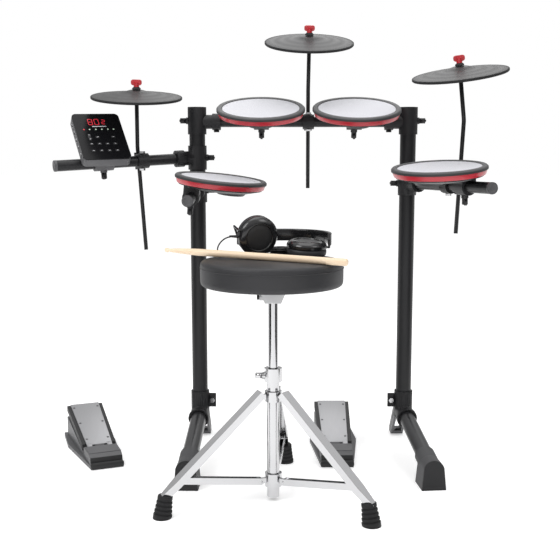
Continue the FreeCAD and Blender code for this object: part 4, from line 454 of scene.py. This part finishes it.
pad_sides = 112
pad_edge = 0.0008
hoop = turn("hoop", [(0.088, -0.019), (0.0985, -0.019), (0.102, -0.008), (0.088, -0.008), (0.088, -0.019)],
            pad_sides, pad_edge)
rim = turn("rim", [(0.088, -0.008), (0.104, -0.008), (0.104, -0.003), (0.101, 0.0), (0.0925, 0.0),
                   (0.0905, -0.002), (0.0905, -0.003), (0.088, -0.003), (0.088, -0.008)],
           pad_sides, pad_edge)
head = turn("head", [(0.0904, -0.0029), (0.0904, -0.0021), (0.075, -0.0022), (0.045, -0.0023),
                     (0.015, -0.0023), (0.0, -0.0023)], pad_sides)
close_ends(head)
keep_places(head)
keep_places(rim)
dress(hoop, hoop_red)
dress(rim, rim_rubber)
dress(head, mesh_white)
tom_back = (0.0, 0.9563, 0.2924)
tom_up = (0.0, -0.2924, 0.9563)
for name, face, back, up in (
        ("left_tom", (-0.0115, 0.1095, 0.8483), tom_back, tom_up),
        ("right_tom", (0.2135, 0.1095, 0.8483), tom_back, tom_up),
        ("snare", (-0.0993, 0.0112, 0.6878), (-0.9942, -0.007, 0.1078), (0.108, -0.0645, 0.9921)),
        ("floor_tom", (0.3774, -0.0787, 0.7144), (0.9265, 0.3635, 0.0975), (-0.0593, -0.1149, 0.9916))):
    dress(nodes[name + "_shell"], shell_black)
    for model, slot, stood_for in ((hoop, "pad_hoop", "_hoop"), (rim, "pad_hoop", "_hoop"),
                                   (head, "pad_mesh", "_head")):
        piece = copy_of(model, name + "_" + model.name + "_skin")
        set_down(piece, face, back, up)
        fix(piece, name, slot, name + stood_for)
for model in (hoop, rim, head):
    bpy.data.objects.remove(model)

# Cymbals: discs of dark grey rubber over a stiff plate, with turned rings and a raised bell,
# and a round sensor housing underneath. A felt, a cup and a red wing nut hold each on its rod.
ring_pitch = 0.0035
wide_pitch = 0.024
cymbal_grey, spots = finish("cymbal_grey", (0.04, 0.04, 0.041), 0.5, None, "own")
reach = spots.node("ShaderNodeVectorMath", {"operation": "LENGTH"}, {0: spots}, 1)
rings = reach.wave(ring_pitch)
wide_rings = reach.wave(wide_pitch)
(rings * 0.03 + wide_rings * 0.04 + 0.5).feed("Roughness")
(wide_rings * 0.3 + 0.5).blend((0.02, 0.02, 0.021), (0.03, 0.03, 0.031)).feed("Base Color")
(rings * 0.5).relief(0.025, 0.0002)
rod_black, spots = finish("rod_black", (0.02, 0.02, 0.021), 0.28, {"Metallic": 0.6})
(spots.noise(15.0, 3.0) * 0.14 + 0.22).feed("Roughness")
felt_grey, spots = finish("felt_grey", (0.014, 0.014, 0.015), 0.95, {"Sheen Weight": 0.1})
spots.noise(300.0, 4.0).blend((0.008, 0.008, 0.009), (0.024, 0.024, 0.025)).feed("Base Color")
spots.noise(900.0, 4.0).relief(0.6, 0.0004)
nut_red, spots = finish("nut_red", (0.5, 0.012, 0.02), 0.34, {"Coat Weight": 0.2})
(spots.noise(60.0, 2.0) * 0.15 + 0.28).feed("Roughness")


def join(pieces, name):
    """Makes one piece of several, under one name."""
    pick(pieces[0])
    for piece in pieces:
        piece.select_set(True)
    bpy.ops.object.join()
    pieces[0].name = name
    pieces[0].data.name = name
    return pieces[0]


sensor_reach = 0.046
felt_size = 0.06
disc = turn("disc", [(0.00545, 0.0075), (0.011, 0.0074), (0.017, 0.0069), (0.0215, 0.0056), (0.025, 0.0038),
                     (0.029, 0.0024), (0.045, 0.0002), (0.065, -0.0025), (0.085, -0.0052), (0.102, -0.0073),
                     (0.1055, -0.0080), (0.106, -0.0088), (0.1052, -0.0096), (0.1035, -0.0100),
                     (0.065, -0.0074), (0.027, -0.0025), (0.00545, -0.0025), (0.00545, 0.0075)], 128)
housing = turn("housing", [(0.017, -0.0037), (0.0165, -0.0095), (0.0145, -0.0151), (0.011, -0.0151),
                           (0.0105, -0.0142), (0.0, -0.0142)], 48, 0.0006)
set_down(housing, (0, sensor_reach, 0), (0, 1, 0), (0, 0, 1))
join([disc, housing], "disc")
keep_places(disc)
strip = turn("edge_strip", [(0.1025, -0.0078), (0.1055, -0.0072), (0.1068, -0.0082), (0.1068, -0.0118),
                            (0.1055, -0.0132), (0.1025, -0.0132), (0.1015, -0.0118), (0.1025, -0.0078)], 128)
dress(strip, boot_rubber)
dress(disc, cymbal_grey)
for name, middle, up in (("centre", (0.1035, 0.1759, 1.012), (0.0106, -0.3015, 0.9534)),
                         ("left", (-0.3034, 0.1219, 0.8811), (0.0304, -0.1866, 0.982)),
                         ("right", (0.4313, -0.0001, 0.9245), (-0.1417, -0.1905, 0.9714))):
    for solid in solids_of(name + "_rod"):
        over_disc = (solid.data.vertices[0].co - Vector(middle)).dot(Vector(up)) > 0
        felt = over_disc and solid.dimensions.length < felt_size
        dress(solid, felt_grey if felt else rod_black)
        fix(solid, name + "_rod", "rod_metal", name + "_rod")
    dress(nodes[name + "_wing_nut"], nut_red)
    for model in (disc, strip):
        piece = copy_of(model, name + "_cymbal_" + model.name)
        set_down(piece, middle, (0, 1, 0), up)
        fix(piece, name + "_cymbal", "cymbal_rubber", name + "_cymbal")
for model in (disc, strip):
    bpy.data.objects.remove(model)

# Sound module: a slim moulded case clamped on the left arm, with a gloss front, rubber keys
# that carry printed marks, a lit display of three figures, a row of small lamps and a row of
# sockets with metal collars in the left wall.
case_grey, spots = finish("case_grey", (0.085, 0.085, 0.09), 0.5)
(spots.noise(20.0, 3.0) * 0.15 + 0.42).feed("Roughness")
spots.grain(1600.0).relief(0.25, 0.0001)
front_gloss, spots = finish("front_gloss", (0.006, 0.006, 0.007), 0.25, {"Specular IOR Level": 0.14})
(spots.noise(12.0, 3.0) * 0.1 + 0.2).feed("Roughness")
key_rubber, spots = finish("key_rubber", (0.02, 0.02, 0.022), 0.6)
(spots.noise(80.0, 3.0) * 0.2 + 0.5).feed("Roughness")
print_white, spots = finish("print_white", (0.7, 0.7, 0.72), 0.5)
spots.noise(900.0, 2.0).blend((0.6, 0.6, 0.62), (0.78, 0.78, 0.8)).feed("Base Color")
lit_red, spots = finish("lit_red", (0.4, 0.02, 0.03), 0.3, {"Emission Strength": 0.42})
spots.noise(500.0, 2.0).blend((0.75, 0.02, 0.05), (0.95, 0.05, 0.08)).feed("Emission Color")
lit_green, spots = finish("lit_green", (0.3, 0.4, 0.3), 0.3, {"Emission Strength": 0.4})
spots.noise(500.0, 2.0).blend((0.5, 0.62, 0.5), (0.7, 0.8, 0.68)).feed("Emission Color")
module_place = Vector((-0.3809, 0.0813, 0.7816))
module_back = Vector((-0.3221, 0.6295, 0.7071))
module_up = Vector((0.2889, -0.6459, 0.7066))
module_right = module_back.cross(module_up)
clamp_size = 0.1


def slab(name, size, middle, corner):
    """Small block with rounded edges: a cube, stretched, moved and bevelled."""
    bpy.ops.object.select_all(action="DESELECT")
    bpy.ops.mesh.primitive_cube_add(size=1, location=middle)
    piece = bpy.context.object
    piece.name = name
    piece.scale = size
    bpy.ops.object.transform_apply(location=True, rotation=True, scale=True)
    with editing(piece):
        bpy.ops.mesh.bevel(offset=corner, segments=3, affect="EDGES")
    bpy.ops.object.shade_smooth_by_angle(angle=math.radians(35))
    return piece


for solid in solids_of("module_case"):
    dress(solid, case_grey if solid.dimensions.length > clamp_size else nylon)
    fix(solid, "module", "module_plastic", "module_case")
dress(nodes["module_panel"], front_gloss)

display_height = 0.046
stroke_width = 0.0018
stroke_gap = 0.0014
stroke_rise = 0.0003
strokes = {"0": "abcdef", "2": "abged", "8": "abcdefg"}
bars = {"a": (0, 1, 0), "b": (1, 0.5, 1), "c": (1, -0.5, 1), "d": (0, -1, 0), "e": (-1, -0.5, 1),
        "f": (-1, 0.5, 1), "g": (0, 0, 0)}
lit = []
for figure, across, wide, tall in (("8", -0.0165, 0.0048, 0.0092), ("0", -0.0015, 0.0048, 0.0092),
                                   ("2", 0.0145, 0.0036, 0.007)):
    for stroke in strokes[figure]:
        side, height, upright = bars[stroke]
        long = tall - stroke_gap if upright else 2 * wide - stroke_gap
        size = (stroke_width, long, stroke_rise) if upright else (long, stroke_width, stroke_rise)
        spot = (across + side * wide, display_height + height * tall, 0.0001)
        lit.append(slab("stroke", size, spot, 0.00012))
figures = join(lit, "display_figures")
set_down(figures, module_place, module_back, module_up)
dress(figures, lit_red)
fix(figures, "module", "module_face")

lamp_row = 0.0215
lamp_profile = [(0.0019, -0.0002), (0.0019, 0.0003), (0.0013, 0.0007), (0.0, 0.0009)]
marks = slab("panel_marks", (0.0333, 0.0024, 0.0002), (0.0022, 0.0312, 0.0001), 0.00008)
for number, across in enumerate((-0.036, -0.0226, -0.008, 0.0064, 0.0205, 0.034)):
    lamp = turn("lamp_" + str(number + 1), lamp_profile, 24)
    set_down(lamp, (across, lamp_row, 0), (0, 1, 0), (0, 0, 1))
    set_down(lamp, module_place, module_back, module_up)
    dress(lamp, lit_red if number == 0 else lit_green)
    fix(lamp, "module", "module_face")
set_down(marks, module_place, module_back, module_up)
dress(marks, print_white)
fix(marks, "module", "module_face")

key_edge = 0.0008
columns = (-0.02775, -0.00925, 0.00925, 0.02775)
for name, places in (("volume_key", ((columns[0], 0.0025), (columns[0], -0.0105))),
                     ("side_keys", ((columns[1], -0.004), (columns[3], -0.004))),
                     ("upper_keys", [(across, -0.026) for across in columns]),
                     ("lower_keys", [(across, -0.048) for across in columns])):
    for solid in solids_of(name, key_edge):
        dress(solid, key_rubber)
        fix(solid, name, "key_rubber", name)
    sign = join([slab("sign", (0.0034, 0.0012, 0.0003), (across, height, 0.00105), 0.0001)
                 for across, height in places], name + "_signs")
    set_down(sign, module_place, module_back, module_up)
    dress(sign, print_white)
    fix(sign, name, "key_rubber")

half_width = 0.056
socket_pitch = 0.024
socket_depth = 0.0135
collar_profile = [(0.0034, -0.0005), (0.0034, 0.0007), (0.0039, 0.0009), (0.0052, 0.0009), (0.0056, 0.0005),
                  (0.0056, -0.0005)]
for number in range(5):
    collar = turn("socket_collar_" + str(number + 1), collar_profile, 40)
    middle = (module_place - module_right * half_width + module_back * ((number - 2) * socket_pitch)
              - module_up * socket_depth)
    set_down(collar, middle, module_back, -module_right)
    dress(collar, bolt_steel)
    fix(collar, "module", "module_plastic")

# Foot pedals: a grey moulded base with a heel block, a dark treadle on a steel pin, and a
# brushed aluminium plate held by six screws.
pedal_grey, spots = finish("pedal_grey", (0.085, 0.085, 0.089), 0.5)
(spots.noise(14.0, 3.0) * 0.16 + 0.42).feed("Roughness")
spots.noise(9.0, 3.0).blend((0.072, 0.072, 0.076), (0.105, 0.105, 0.11)).feed("Base Color")
spots.grain(1400.0).relief(0.3, 0.0001)
pedal_dark, spots = finish("pedal_dark", (0.015, 0.015, 0.016), 0.55, {"Specular IOR Level": 0.35})
(spots.noise(16.0, 3.0) * 0.16 + 0.46).feed("Roughness")
spots.grain(1500.0).relief(0.3, 0.0001)
plate_silver, spots = finish("plate_silver", (0.34, 0.34, 0.35), 0.42, {"Metallic": 0.8})
stretched = spots.node("ShaderNodeMapping", {}, {"Vector": spots, "Scale": (900.0, 20.0, 20.0)})
brushing = stretched.noise(1.0, 3.0)
(brushing * 0.18 + 0.34).feed("Roughness")
brushing.relief(0.12, 0.0001)
screw_grey, spots = finish("screw_grey", (0.12, 0.12, 0.125), 0.35, {"Metallic": 0.7})
(spots.noise(90.0, 3.0) * 0.15 + 0.28).feed("Roughness")
dress(nodes["pedal_bases"], pedal_grey)
dress(nodes["pedal_pins"], pedal_dark)
slope = math.radians(15.5)
treadle_low = 0.0235
plate_length = 0.199
plate_start = 0.093
plate_height = 0.033
heel_share, widening = 0.97, 0.9
tab_side = 0.0245
screw_rows = (0.118, 0.192, 0.266)
screw_side, screw_spread = 0.0255, 0.028
screw_profile = [(0.0032, -0.0003), (0.0032, 0.0004), (0.0026, 0.0011), (0.0014, 0.0013), (0.0012, 0.0007),
                 (0.0, 0.0007)]
riser_middle = Vector((0, 0.0116, 0.0185))
riser_lean = Matrix.Rotation(math.radians(-23), 4, "X")
up = Vector((0, 0, 1))
for name, heel, turned in (("left_pedal", Vector((-0.3755, 0.0269, 0)), math.radians(22.3)),
                           ("right_pedal", Vector((0.1705, 0.0349, 0)), 0.0)):
    along = Vector((-math.sin(turned), math.cos(turned), 0))
    right = Vector((math.cos(turned), math.sin(turned), 0))
    treadle_name = name.replace("pedal", "footboard")
    for solid in solids_of(treadle_name):
        if min((vertex.co - heel).dot(up) for vertex in solid.data.vertices) < treadle_low:
            dress(solid, pedal_dark)
            fix(solid, name, "pedal_plastic", treadle_name)
        else:
            bpy.data.objects.remove(solid)
    plate = slab(name + "_plate", (0.064, plate_length, 0.003), (0, plate_length / 2, -0.0011), 0.0008)
    with editing(plate):
        bpy.ops.mesh.bisect(plane_co=(0, 0.1, 0), plane_no=(0, 1, 0))
    for vertex in plate.data.vertices:
        vertex.co.x *= heel_share + widening * vertex.co.y
    tabs = [slab("tab", (0.0125, 0.016, 0.0034), (side * tab_side, -0.0015, -0.0010), 0.0013)
            for side in (-1, 1)]
    plate = join([plate] + tabs, name + "_plate")
    plate_up = up * math.cos(slope) - along * math.sin(slope)
    set_down(plate, heel + along * plate_start + up * plate_height, along, plate_up)
    dress(plate, plate_silver)
    fix(plate, name, "pedal_plate", treadle_name)
    places = [(reach, side) for reach in screw_rows for side in (-1, 1)]
    for number, (reach, side) in enumerate(places):
        past = reach - plate_start
        half = screw_side + screw_spread * past
        screw = turn(name + "_screw_" + str(number + 1), screw_profile, 28)
        on_plate = up * (plate_height + past * math.tan(slope))
        set_down(screw, heel + right * (side * half) + along * reach + on_plate, along, plate_up)
        dress(screw, screw_grey)
        fix(screw, name, "pedal_plate")
    # The dark rounded front lip and the dark sheet on the heel's sloping riser are partly dark moulding and
    # partly painted shade on the faces turned forward; the heel cover is grey.
    shaded_lip = slab(name + "_front_lip", (0.08, 0.014, 0.0155), (0, 0.003, 0.0079), 0.0055)
    shaded_riser = slab(name + "_riser", (0.0752, 0.0016, 0.0145), riser_middle, 0.0006)
    shaded_riser.data.transform(Matrix.Translation(riser_middle) @ riser_lean @ Matrix.Translation(-riser_middle))
    cover = slab(name + "_heel_cover", (0.0765, 0.0535, 0.0028), (0, 0.0562, 0.0312), 0.0012)
    for piece, material in ((shaded_lip, pedal_dark), (shaded_riser, pedal_dark), (cover, pedal_grey)):
        set_down(piece, heel, along, up)
        dress(piece, material)
        fix(piece, "rack", "pedal_plastic")

# Throne: a chrome tripod of channel legs and flat straps riveted to two hubs on the column,
# ribbed rubber feet, and the seat tube held at its height by the collar's wing bolt. The
# bracket under the seat is pressed steel, plated light grey.
chrome, spots = finish("chrome", (0.56, 0.56, 0.57), 0.1, {"Metallic": 1.0})
(spots.noise(25.0, 3.0) * 0.06 + 0.07).feed("Roughness")
plated_grey, spots = finish("plated_grey", (0.6, 0.6, 0.61), 0.35, {"Metallic": 0.5})
(spots.noise(18.0, 3.0) * 0.14 + 0.28).feed("Roughness")
for name in ("throne_column", "throne_braces", "throne_hubs", "seat_tube"):
    dress(nodes[name], chrome)
seat_middle = Vector((0.0165, -0.1701, 0))
leg_reach = 0.254
leg_end_height = 0.03
leg_outward, leg_downward = 0.7445, 0.6677
taper_length = 0.055
end_zone = 0.01
end_narrowing = 0.5
end_cut = 0.011
foot_reach = 0.2468
foot_lean = math.radians(9)
foot_bottom = 0.0002
foot_profile = [(0.0196, -0.005), (0.0196, 0.0075)]
for number, (groove, rib) in enumerate(((0.0165, 0.0186), (0.0155, 0.0176), (0.0147, 0.0167))):
    low = 0.0095 + 0.009 * number
    foot_profile += [(groove, low), (groove, low + 0.002), (rib, low + 0.003), (rib, low + 0.007)]
foot_profile += [(0.014, 0.0365), (0.014, 0.038), (0.0158, 0.039), (0.0158, 0.0455), (0.0146, 0.047),
                 (0.0, 0.047)]
for number, leg in enumerate(solids_of("throne_legs")):
    out = sum((vertex.co for vertex in leg.data.vertices), Vector()) / len(leg.data.vertices) - seat_middle
    out.z = 0
    out.normalize()
    across = Vector((-out.y, out.x, 0))
    run = Vector((leg_outward * out.x, leg_outward * out.y, -leg_downward))
    end = seat_middle + out * leg_reach + Vector((0, 0, leg_end_height))
    with editing(leg):
        bpy.ops.mesh.bisect(plane_co=end - run * taper_length, plane_no=run)
    for vertex in leg.data.vertices:
        if (vertex.co - end).dot(run) > -end_zone:
            vertex.co -= across * (end_narrowing * (vertex.co - end).dot(across)) + run * end_cut
    dress(leg, chrome)
    fix(leg, "rack", "throne_metal", "throne_legs")
    foot = turn("throne_foot_" + str(number + 1), foot_profile, 64)
    set_down(foot, seat_middle + out * foot_reach, across,
             Vector((0, 0, math.cos(foot_lean))) - out * math.sin(foot_lean))
    with editing(foot):
        bpy.ops.mesh.bisect(plane_co=(0, 0, foot_bottom), plane_no=(0, 0, 1), clear_inner=True,
                            use_fill=True)
    dress(foot, boot_rubber)
    fix(foot, "rack", "boot_rubber", "throne_feet")
rack_height = 0.5
for solid in solids_of("fasteners"):
    on_rack = solid.data.vertices[0].co.z > rack_height
    dress(solid, powder_black if on_rack else chrome)
    fix(solid, "rack", "fitting_plastic" if on_rack else "throne_metal", "fasteners")
bracket_size = 0.1
for solid in solids_of("seat_bracket"):
    dress(solid, plated_grey if solid.dimensions.length > bracket_size else powder_black)
    fix(solid, "seat", "throne_metal", "seat_bracket")

# Seat: a round board with thick foam under black leatherette. The cover of top and side meet
# in a seam, and its edge is drawn down over the board and stapled underneath.
leatherette, spots = finish("leatherette", (0.03, 0.03, 0.032), 0.5)
(spots.noise(8.0, 3.0) * 0.16 + 0.44).feed("Roughness")
spots.noise(6.0, 3.0).blend((0.014, 0.014, 0.016), (0.026, 0.026, 0.029)).feed("Base Color")
spots.grain(420.0, "DISTANCE_TO_EDGE").relief(0.4, 0.0003)


def stuff(piece, cell, most, held):
    """Blows a closed cover up like a stuffed one: cloth under pressure, held where held(point) is true."""
    pressure = 4.0
    frames = 20
    pick(piece)
    piece.data.remesh_voxel_size = cell
    bpy.ops.object.voxel_remesh()
    group = piece.vertex_groups.new(name="held")
    group.add([vertex.index for vertex in piece.data.vertices if held(vertex.co)], 1.0, "REPLACE")
    before = [vertex.co.copy() for vertex in piece.data.vertices]
    cloth = piece.modifiers.new("cover", "CLOTH")
    cloth.settings.use_pressure = True
    cloth.settings.uniform_pressure_force = pressure
    cloth.settings.effector_weights.gravity = 0.0
    cloth.settings.vertex_group_mass = "held"
    cloth.point_cache.frame_start = 1
    cloth.point_cache.frame_end = frames
    for number in range(1, frames + 1):
        scene.frame_set(number)
    bpy.ops.object.modifier_apply(modifier="cover")
    scene.frame_set(1)
    for vertex, start in zip(piece.data.vertices, before):
        move = vertex.co - start
        if move.length > most:
            vertex.co = start + move.normalized() * most
    smooth = piece.modifiers.new("smooth", "SUBSURF")
    smooth.levels = 1
    smooth.render_levels = 1
    bpy.ops.object.modifier_apply(modifier="smooth")
    bpy.ops.object.shade_smooth()


seat = turn("seat_cover", [(0.02, 0.4712), (0.132, 0.4712), (0.138, 0.4692), (0.1435, 0.4684),
                           (0.148, 0.4715), (0.1494, 0.478), (0.1496, 0.495), (0.1494, 0.512),
                           (0.1485, 0.5165), (0.1455, 0.5195), (0.139, 0.5206), (0.12, 0.5216),
                           (0.1, 0.5222), (0.06, 0.523), (0.03, 0.5234), (0.0, 0.5236)], 128)
close_ends(seat)
stuff(seat, 0.004, 0.002, lambda point: point.z > 0.5185 or point.z < 0.4735)
seam = turn("seat_seam", [(0.1485, 0.5052), (0.1502, 0.5055), (0.1507, 0.5061), (0.1502, 0.5067),
                          (0.1485, 0.507)], 128)
for piece in (seat, seam):
    set_down(piece, seat_middle, (0, 1, 0), (0, 0, 1))
    dress(piece, leatherette)
    fix(piece, "seat", "seat_leather", "seat_cushion")

# Stick: turned hardwood, lightly lacquered, with an acorn tip. It lies across the seat, with
# its butt to the right.
maple, spots = finish("maple", (0.74, 0.56, 0.38), 0.42, None, "own")
fibres = spots.node("ShaderNodeVectorMath", {"operation": "MULTIPLY"}, {0: spots, 1: (1.0, 1.0, 0.04)})
streaks = fibres.noise(320.0, 4.0)
streaks.blend((0.68, 0.49, 0.32), (0.9, 0.75, 0.57)).feed("Base Color")
(streaks * 0.14 + 0.34).feed("Roughness")
streaks.relief(0.15, 0.0002)
stick = turn("stick_skin", [(0.0045, 0.0001), (0.0062, 0.0012), (0.0074, 0.0035), (0.0074, 0.2),
                            (0.0074, 0.336), (0.0068, 0.355), (0.0056, 0.382), (0.0037, 0.4045),
                            (0.0035, 0.4067), (0.0043, 0.409), (0.0048, 0.4115), (0.0046, 0.4145),
                            (0.0035, 0.4165), (0.0, 0.4173)], 40)
close_ends(stick)
keep_places(stick)
set_down(stick, (0.1675, -0.2731, 0.5276), (0, 0, 1), (-0.3825, 0.1688, 0.0075))
dress(stick, maple)
fix(stick, "seat", "stick_wood", "drumstick")

# Headphones: a gloss black band and ear cups with a sunk disc, soft ear pads in leatherette.
# An arm from each end of the band holds its cup by a pin. They lie on the seat.
gloss_black, spots = finish("gloss_black", (0.01, 0.01, 0.011), 0.18, {
    "Coat Weight": 0.3, "Coat Roughness": 0.08})
(spots.noise(15.0, 3.0) * 0.12 + 0.14).feed("Roughness")
disc_black, spots = finish("disc_black", (0.018, 0.018, 0.019), 0.4)
(spots.noise(30.0, 3.0) * 0.15 + 0.34).feed("Roughness")
cup_sides = 96
shell_profile = [(0.0432, 0.0004), (0.0432, 0.0036), (0.0425, 0.004), (0.0425, 0.0047), (0.0432, 0.0051),
                 (0.0428, 0.0075), (0.0408, 0.0105), (0.0375, 0.0132), (0.0338, 0.0152), (0.0312, 0.0161),
                 (0.0298, 0.0163), (0.0287, 0.0159), (0.028, 0.015), (0.0278, 0.014)]
disc_profile = [(0.0279, 0.0137), (0.0272, 0.014), (0.018, 0.0143), (0.008, 0.0144), (0.0, 0.0144)]
pad_profile = [(0.0245, -0.001), (0.0335, -0.0006), (0.0412, -0.0014), (0.0427, -0.005), (0.0427, -0.0105),
               (0.0405, -0.0152), (0.0335, -0.0163), (0.0272, -0.0155), (0.0247, -0.012), (0.0245, -0.001)]
for name, middle, axis in (("left_ear_cup", (-0.0145, -0.1311, 0.568), (0.346, -0.9159, -0.2035)),
                           ("right_ear_cup", (0.0905, -0.1211, 0.5423), (0.0498, -0.0598, 0.997))):
    shell = turn(name + "_shell", shell_profile, cup_sides)
    plate = turn(name + "_disc", disc_profile, cup_sides)
    cushion = turn(name + "_pad", pad_profile, cup_sides)
    stuff(cushion, 0.002, 0.001, lambda point: point.z > -0.0022)
    for piece, material in ((shell, gloss_black), (plate, disc_black), (cushion, leatherette)):
        set_down(piece, middle, (0, 1, 1), axis)
        dress(piece, material)
        fix(piece, name, "headphone_plastic", name)

band_middle = Vector((0.0425, -0.1191, 0.561))
band_radius = 0.098
band_section = (0.007, 0.027, 1)
band_start, band_sweep = math.radians(178), math.radians(192)
bpy.ops.object.select_all(action="DESELECT")
bpy.ops.mesh.primitive_plane_add(size=1, location=(band_radius, 0, 0), rotation=(math.radians(90), 0, 0))
band = bpy.context.object
band.name = "band_skin"
band.scale = band_section
bpy.ops.object.transform_apply(location=True, rotation=True, scale=True)
with editing(band):
    bpy.ops.mesh.bevel(offset=0.0028, segments=4, affect="VERTICES")
    bpy.ops.mesh.select_all(action="SELECT")
    bpy.ops.mesh.spin(steps=72, angle=band_sweep, center=(0, 0, 0), axis=(0, 0, 1))
    bpy.ops.mesh.select_all(action="SELECT")
    bpy.ops.mesh.remove_doubles(threshold=1e-6)
    bpy.ops.mesh.normals_make_consistent(inside=False)
band.rotation_euler = (0, 0, band_start)
band.location = band_middle
bpy.ops.object.transform_apply(location=True, rotation=True, scale=True)
bpy.ops.object.shade_smooth_by_angle(angle=math.radians(35))
dress(band, gloss_black)
fix(band, "seat", "headphone_plastic", "headband")
runs = []
for points in (((-0.0555, -0.1157, 0.561), (-0.0639, -0.1258, 0.5881), (-0.0528, -0.1551, 0.5816),
                (-0.0495, -0.1536, 0.5804)),
               ((0.1376, -0.1428, 0.561), (0.1381, -0.143, 0.561), (0.1373, -0.1421, 0.5447),
                (0.1334, -0.1404, 0.545))):
    for start, end in zip(points, points[1:]):
        way = Vector(end) - Vector(start)
        run = turn("arm_run", [(0.0012, -0.0022), (0.0021, -0.0012), (0.0025, 0.0), (0.0025, way.length),
                               (0.0021, way.length + 0.0012), (0.0012, way.length + 0.0022)], 24)
        close_ends(run)
        set_down(run, start, (0.3, 0.5, 0.1), way)
        runs.append(run)
arms = join(runs, "band_arms")
dress(arms, gloss_black)
fix(arms, "seat", "headphone_plastic", "headband")

# Headphone cord: round black lead with a smooth jacket and a tapered sleeve where it leaves
# the left cup. It drops to the seat and runs behind the cups, where the rest of it lies wound
# up in a tie, with its plug beside it.
jacket, spots = finish("cord_jacket", (0.016, 0.016, 0.017), 0.5)
(spots.noise(40.0, 3.0) * 0.15 + 0.42).feed("Roughness")
spots.noise(700.0, 2.0).relief(0.2, 0.0001)
cord_radius = 0.0015
exit_point = (-0.0575, -0.1481, 0.568)
plug_place = (-0.0005, -0.0473, 0.524)
route = [exit_point, (-0.0735, -0.1531, 0.569), (-0.0905, -0.1371, 0.558), (-0.0995, -0.1281, 0.544),
         (-0.1005, -0.1161, 0.532), (-0.0915, -0.1061, 0.5252), (-0.0765, -0.1001, 0.5236),
         (-0.0595, -0.0971, 0.5242), (-0.0415, -0.0961, 0.5246), (-0.0195, -0.0966, 0.5249),
         (0.0075, -0.0949, 0.5247), (0.0295, -0.0949, 0.5243)]
coil_middle = Vector((0.0325, -0.0711, 0.5241))
coil_inner = 0.0115
coil_pitch = 0.0041
loops = 3
layers = 4
steps = 7
stations = []
for layer in range(layers):
    for half_turn in range(2 * loops + 1):
        share = 2 * loops - half_turn if layer % 2 == 0 else half_turn
        stations.append((coil_inner + coil_pitch * share / 2, layer * coil_pitch))
for number, ((radius, height), (next_radius, next_height)) in enumerate(zip(stations, stations[1:])):
    for step in range(steps):
        share = step / steps
        angle = math.pi * (number + share - 0.5)
        reach = radius + (next_radius - radius) * share
        route.append(tuple(coil_middle + Vector((reach * math.cos(angle), reach * math.sin(angle),
                                                 height + (next_height - height) * share))))
route += [(0.0325, -0.0473, 0.5364), (0.0225, -0.0473, 0.5357), (0.0125, -0.0473, 0.5246),
          (0.0025, -0.0473, 0.524), plug_place]
line = bpy.data.curves.new("cord_line", "CURVE")
line.dimensions = "3D"
line.bevel_depth = cord_radius
line.bevel_resolution = 4
line.use_fill_caps = True
spline = line.splines.new("NURBS")
spline.points.add(len(route) - 1)
for point, spot in zip(spline.points, route):
    point.co = (*spot, 1)
spline.order_u = 3
spline.use_endpoint_u = True
spline.resolution_u = 6
cord = bpy.data.objects.new("headphone_lead", line)
scene.collection.objects.link(cord)
dress(cord, jacket)
fix(cord, "seat", "cord_rubber", "headphone_cord", "headphone_coil")
sleeve = turn("cord_sleeve", [(0.0016, 0.016), (0.0022, 0.015), (0.0026, 0.008), (0.0032, 0.0),
                              (0.0032, -0.003)], 24)
leaving = (Vector(route[1]) - Vector(exit_point)).normalized()
set_down(sleeve, exit_point, (0, 0, 1), leaving)
dress(sleeve, jacket)
fix(sleeve, "left_ear_cup", "cord_rubber")
tie_offset = Vector((-0.0177, 0, 0.00615))
tie_squareness = 4
tie = turn("coil_tie", [(0.0078, -0.004), (0.0084, -0.004), (0.0084, 0.004), (0.0078, 0.004),
                        (0.0078, -0.004)], 48)
for vertex in tie.data.vertices:
    way = vertex.co.to_2d().normalized()
    vertex.co.xy *= (way.x ** tie_squareness + way.y ** tie_squareness) ** (-1 / tie_squareness)
set_down(tie, coil_middle + tie_offset, (0, 0, 1), (0, 1, 0))
dress(tie, felt_grey)
fix(tie, "seat", "cord_rubber")
plug = turn("plug_skin", [(0.0016, -0.002), (0.003, -0.0005), (0.0045, 0.001), (0.0045, 0.0045),
                          (0.0041, 0.0049), (0.0041, 0.0056), (0.0045, 0.006), (0.0045, 0.0165),
                          (0.0038, 0.018), (0.00175, 0.018)], 32)
pin = turn("plug_pin", [(0.00175, 0.0178), (0.00175, 0.0285), (0.0013, 0.0292), (0.0013, 0.0297),
                        (0.00165, 0.0304), (0.0009, 0.032), (0.0, 0.0321)], 24)
for piece, material in ((plug, jacket), (pin, bolt_steel)):
    set_down(piece, plug_place, (0, 0, 1), (-1, 0, 0))
    dress(piece, material)
    fix(piece, "seat", "cord_rubber", "headphone_plug")
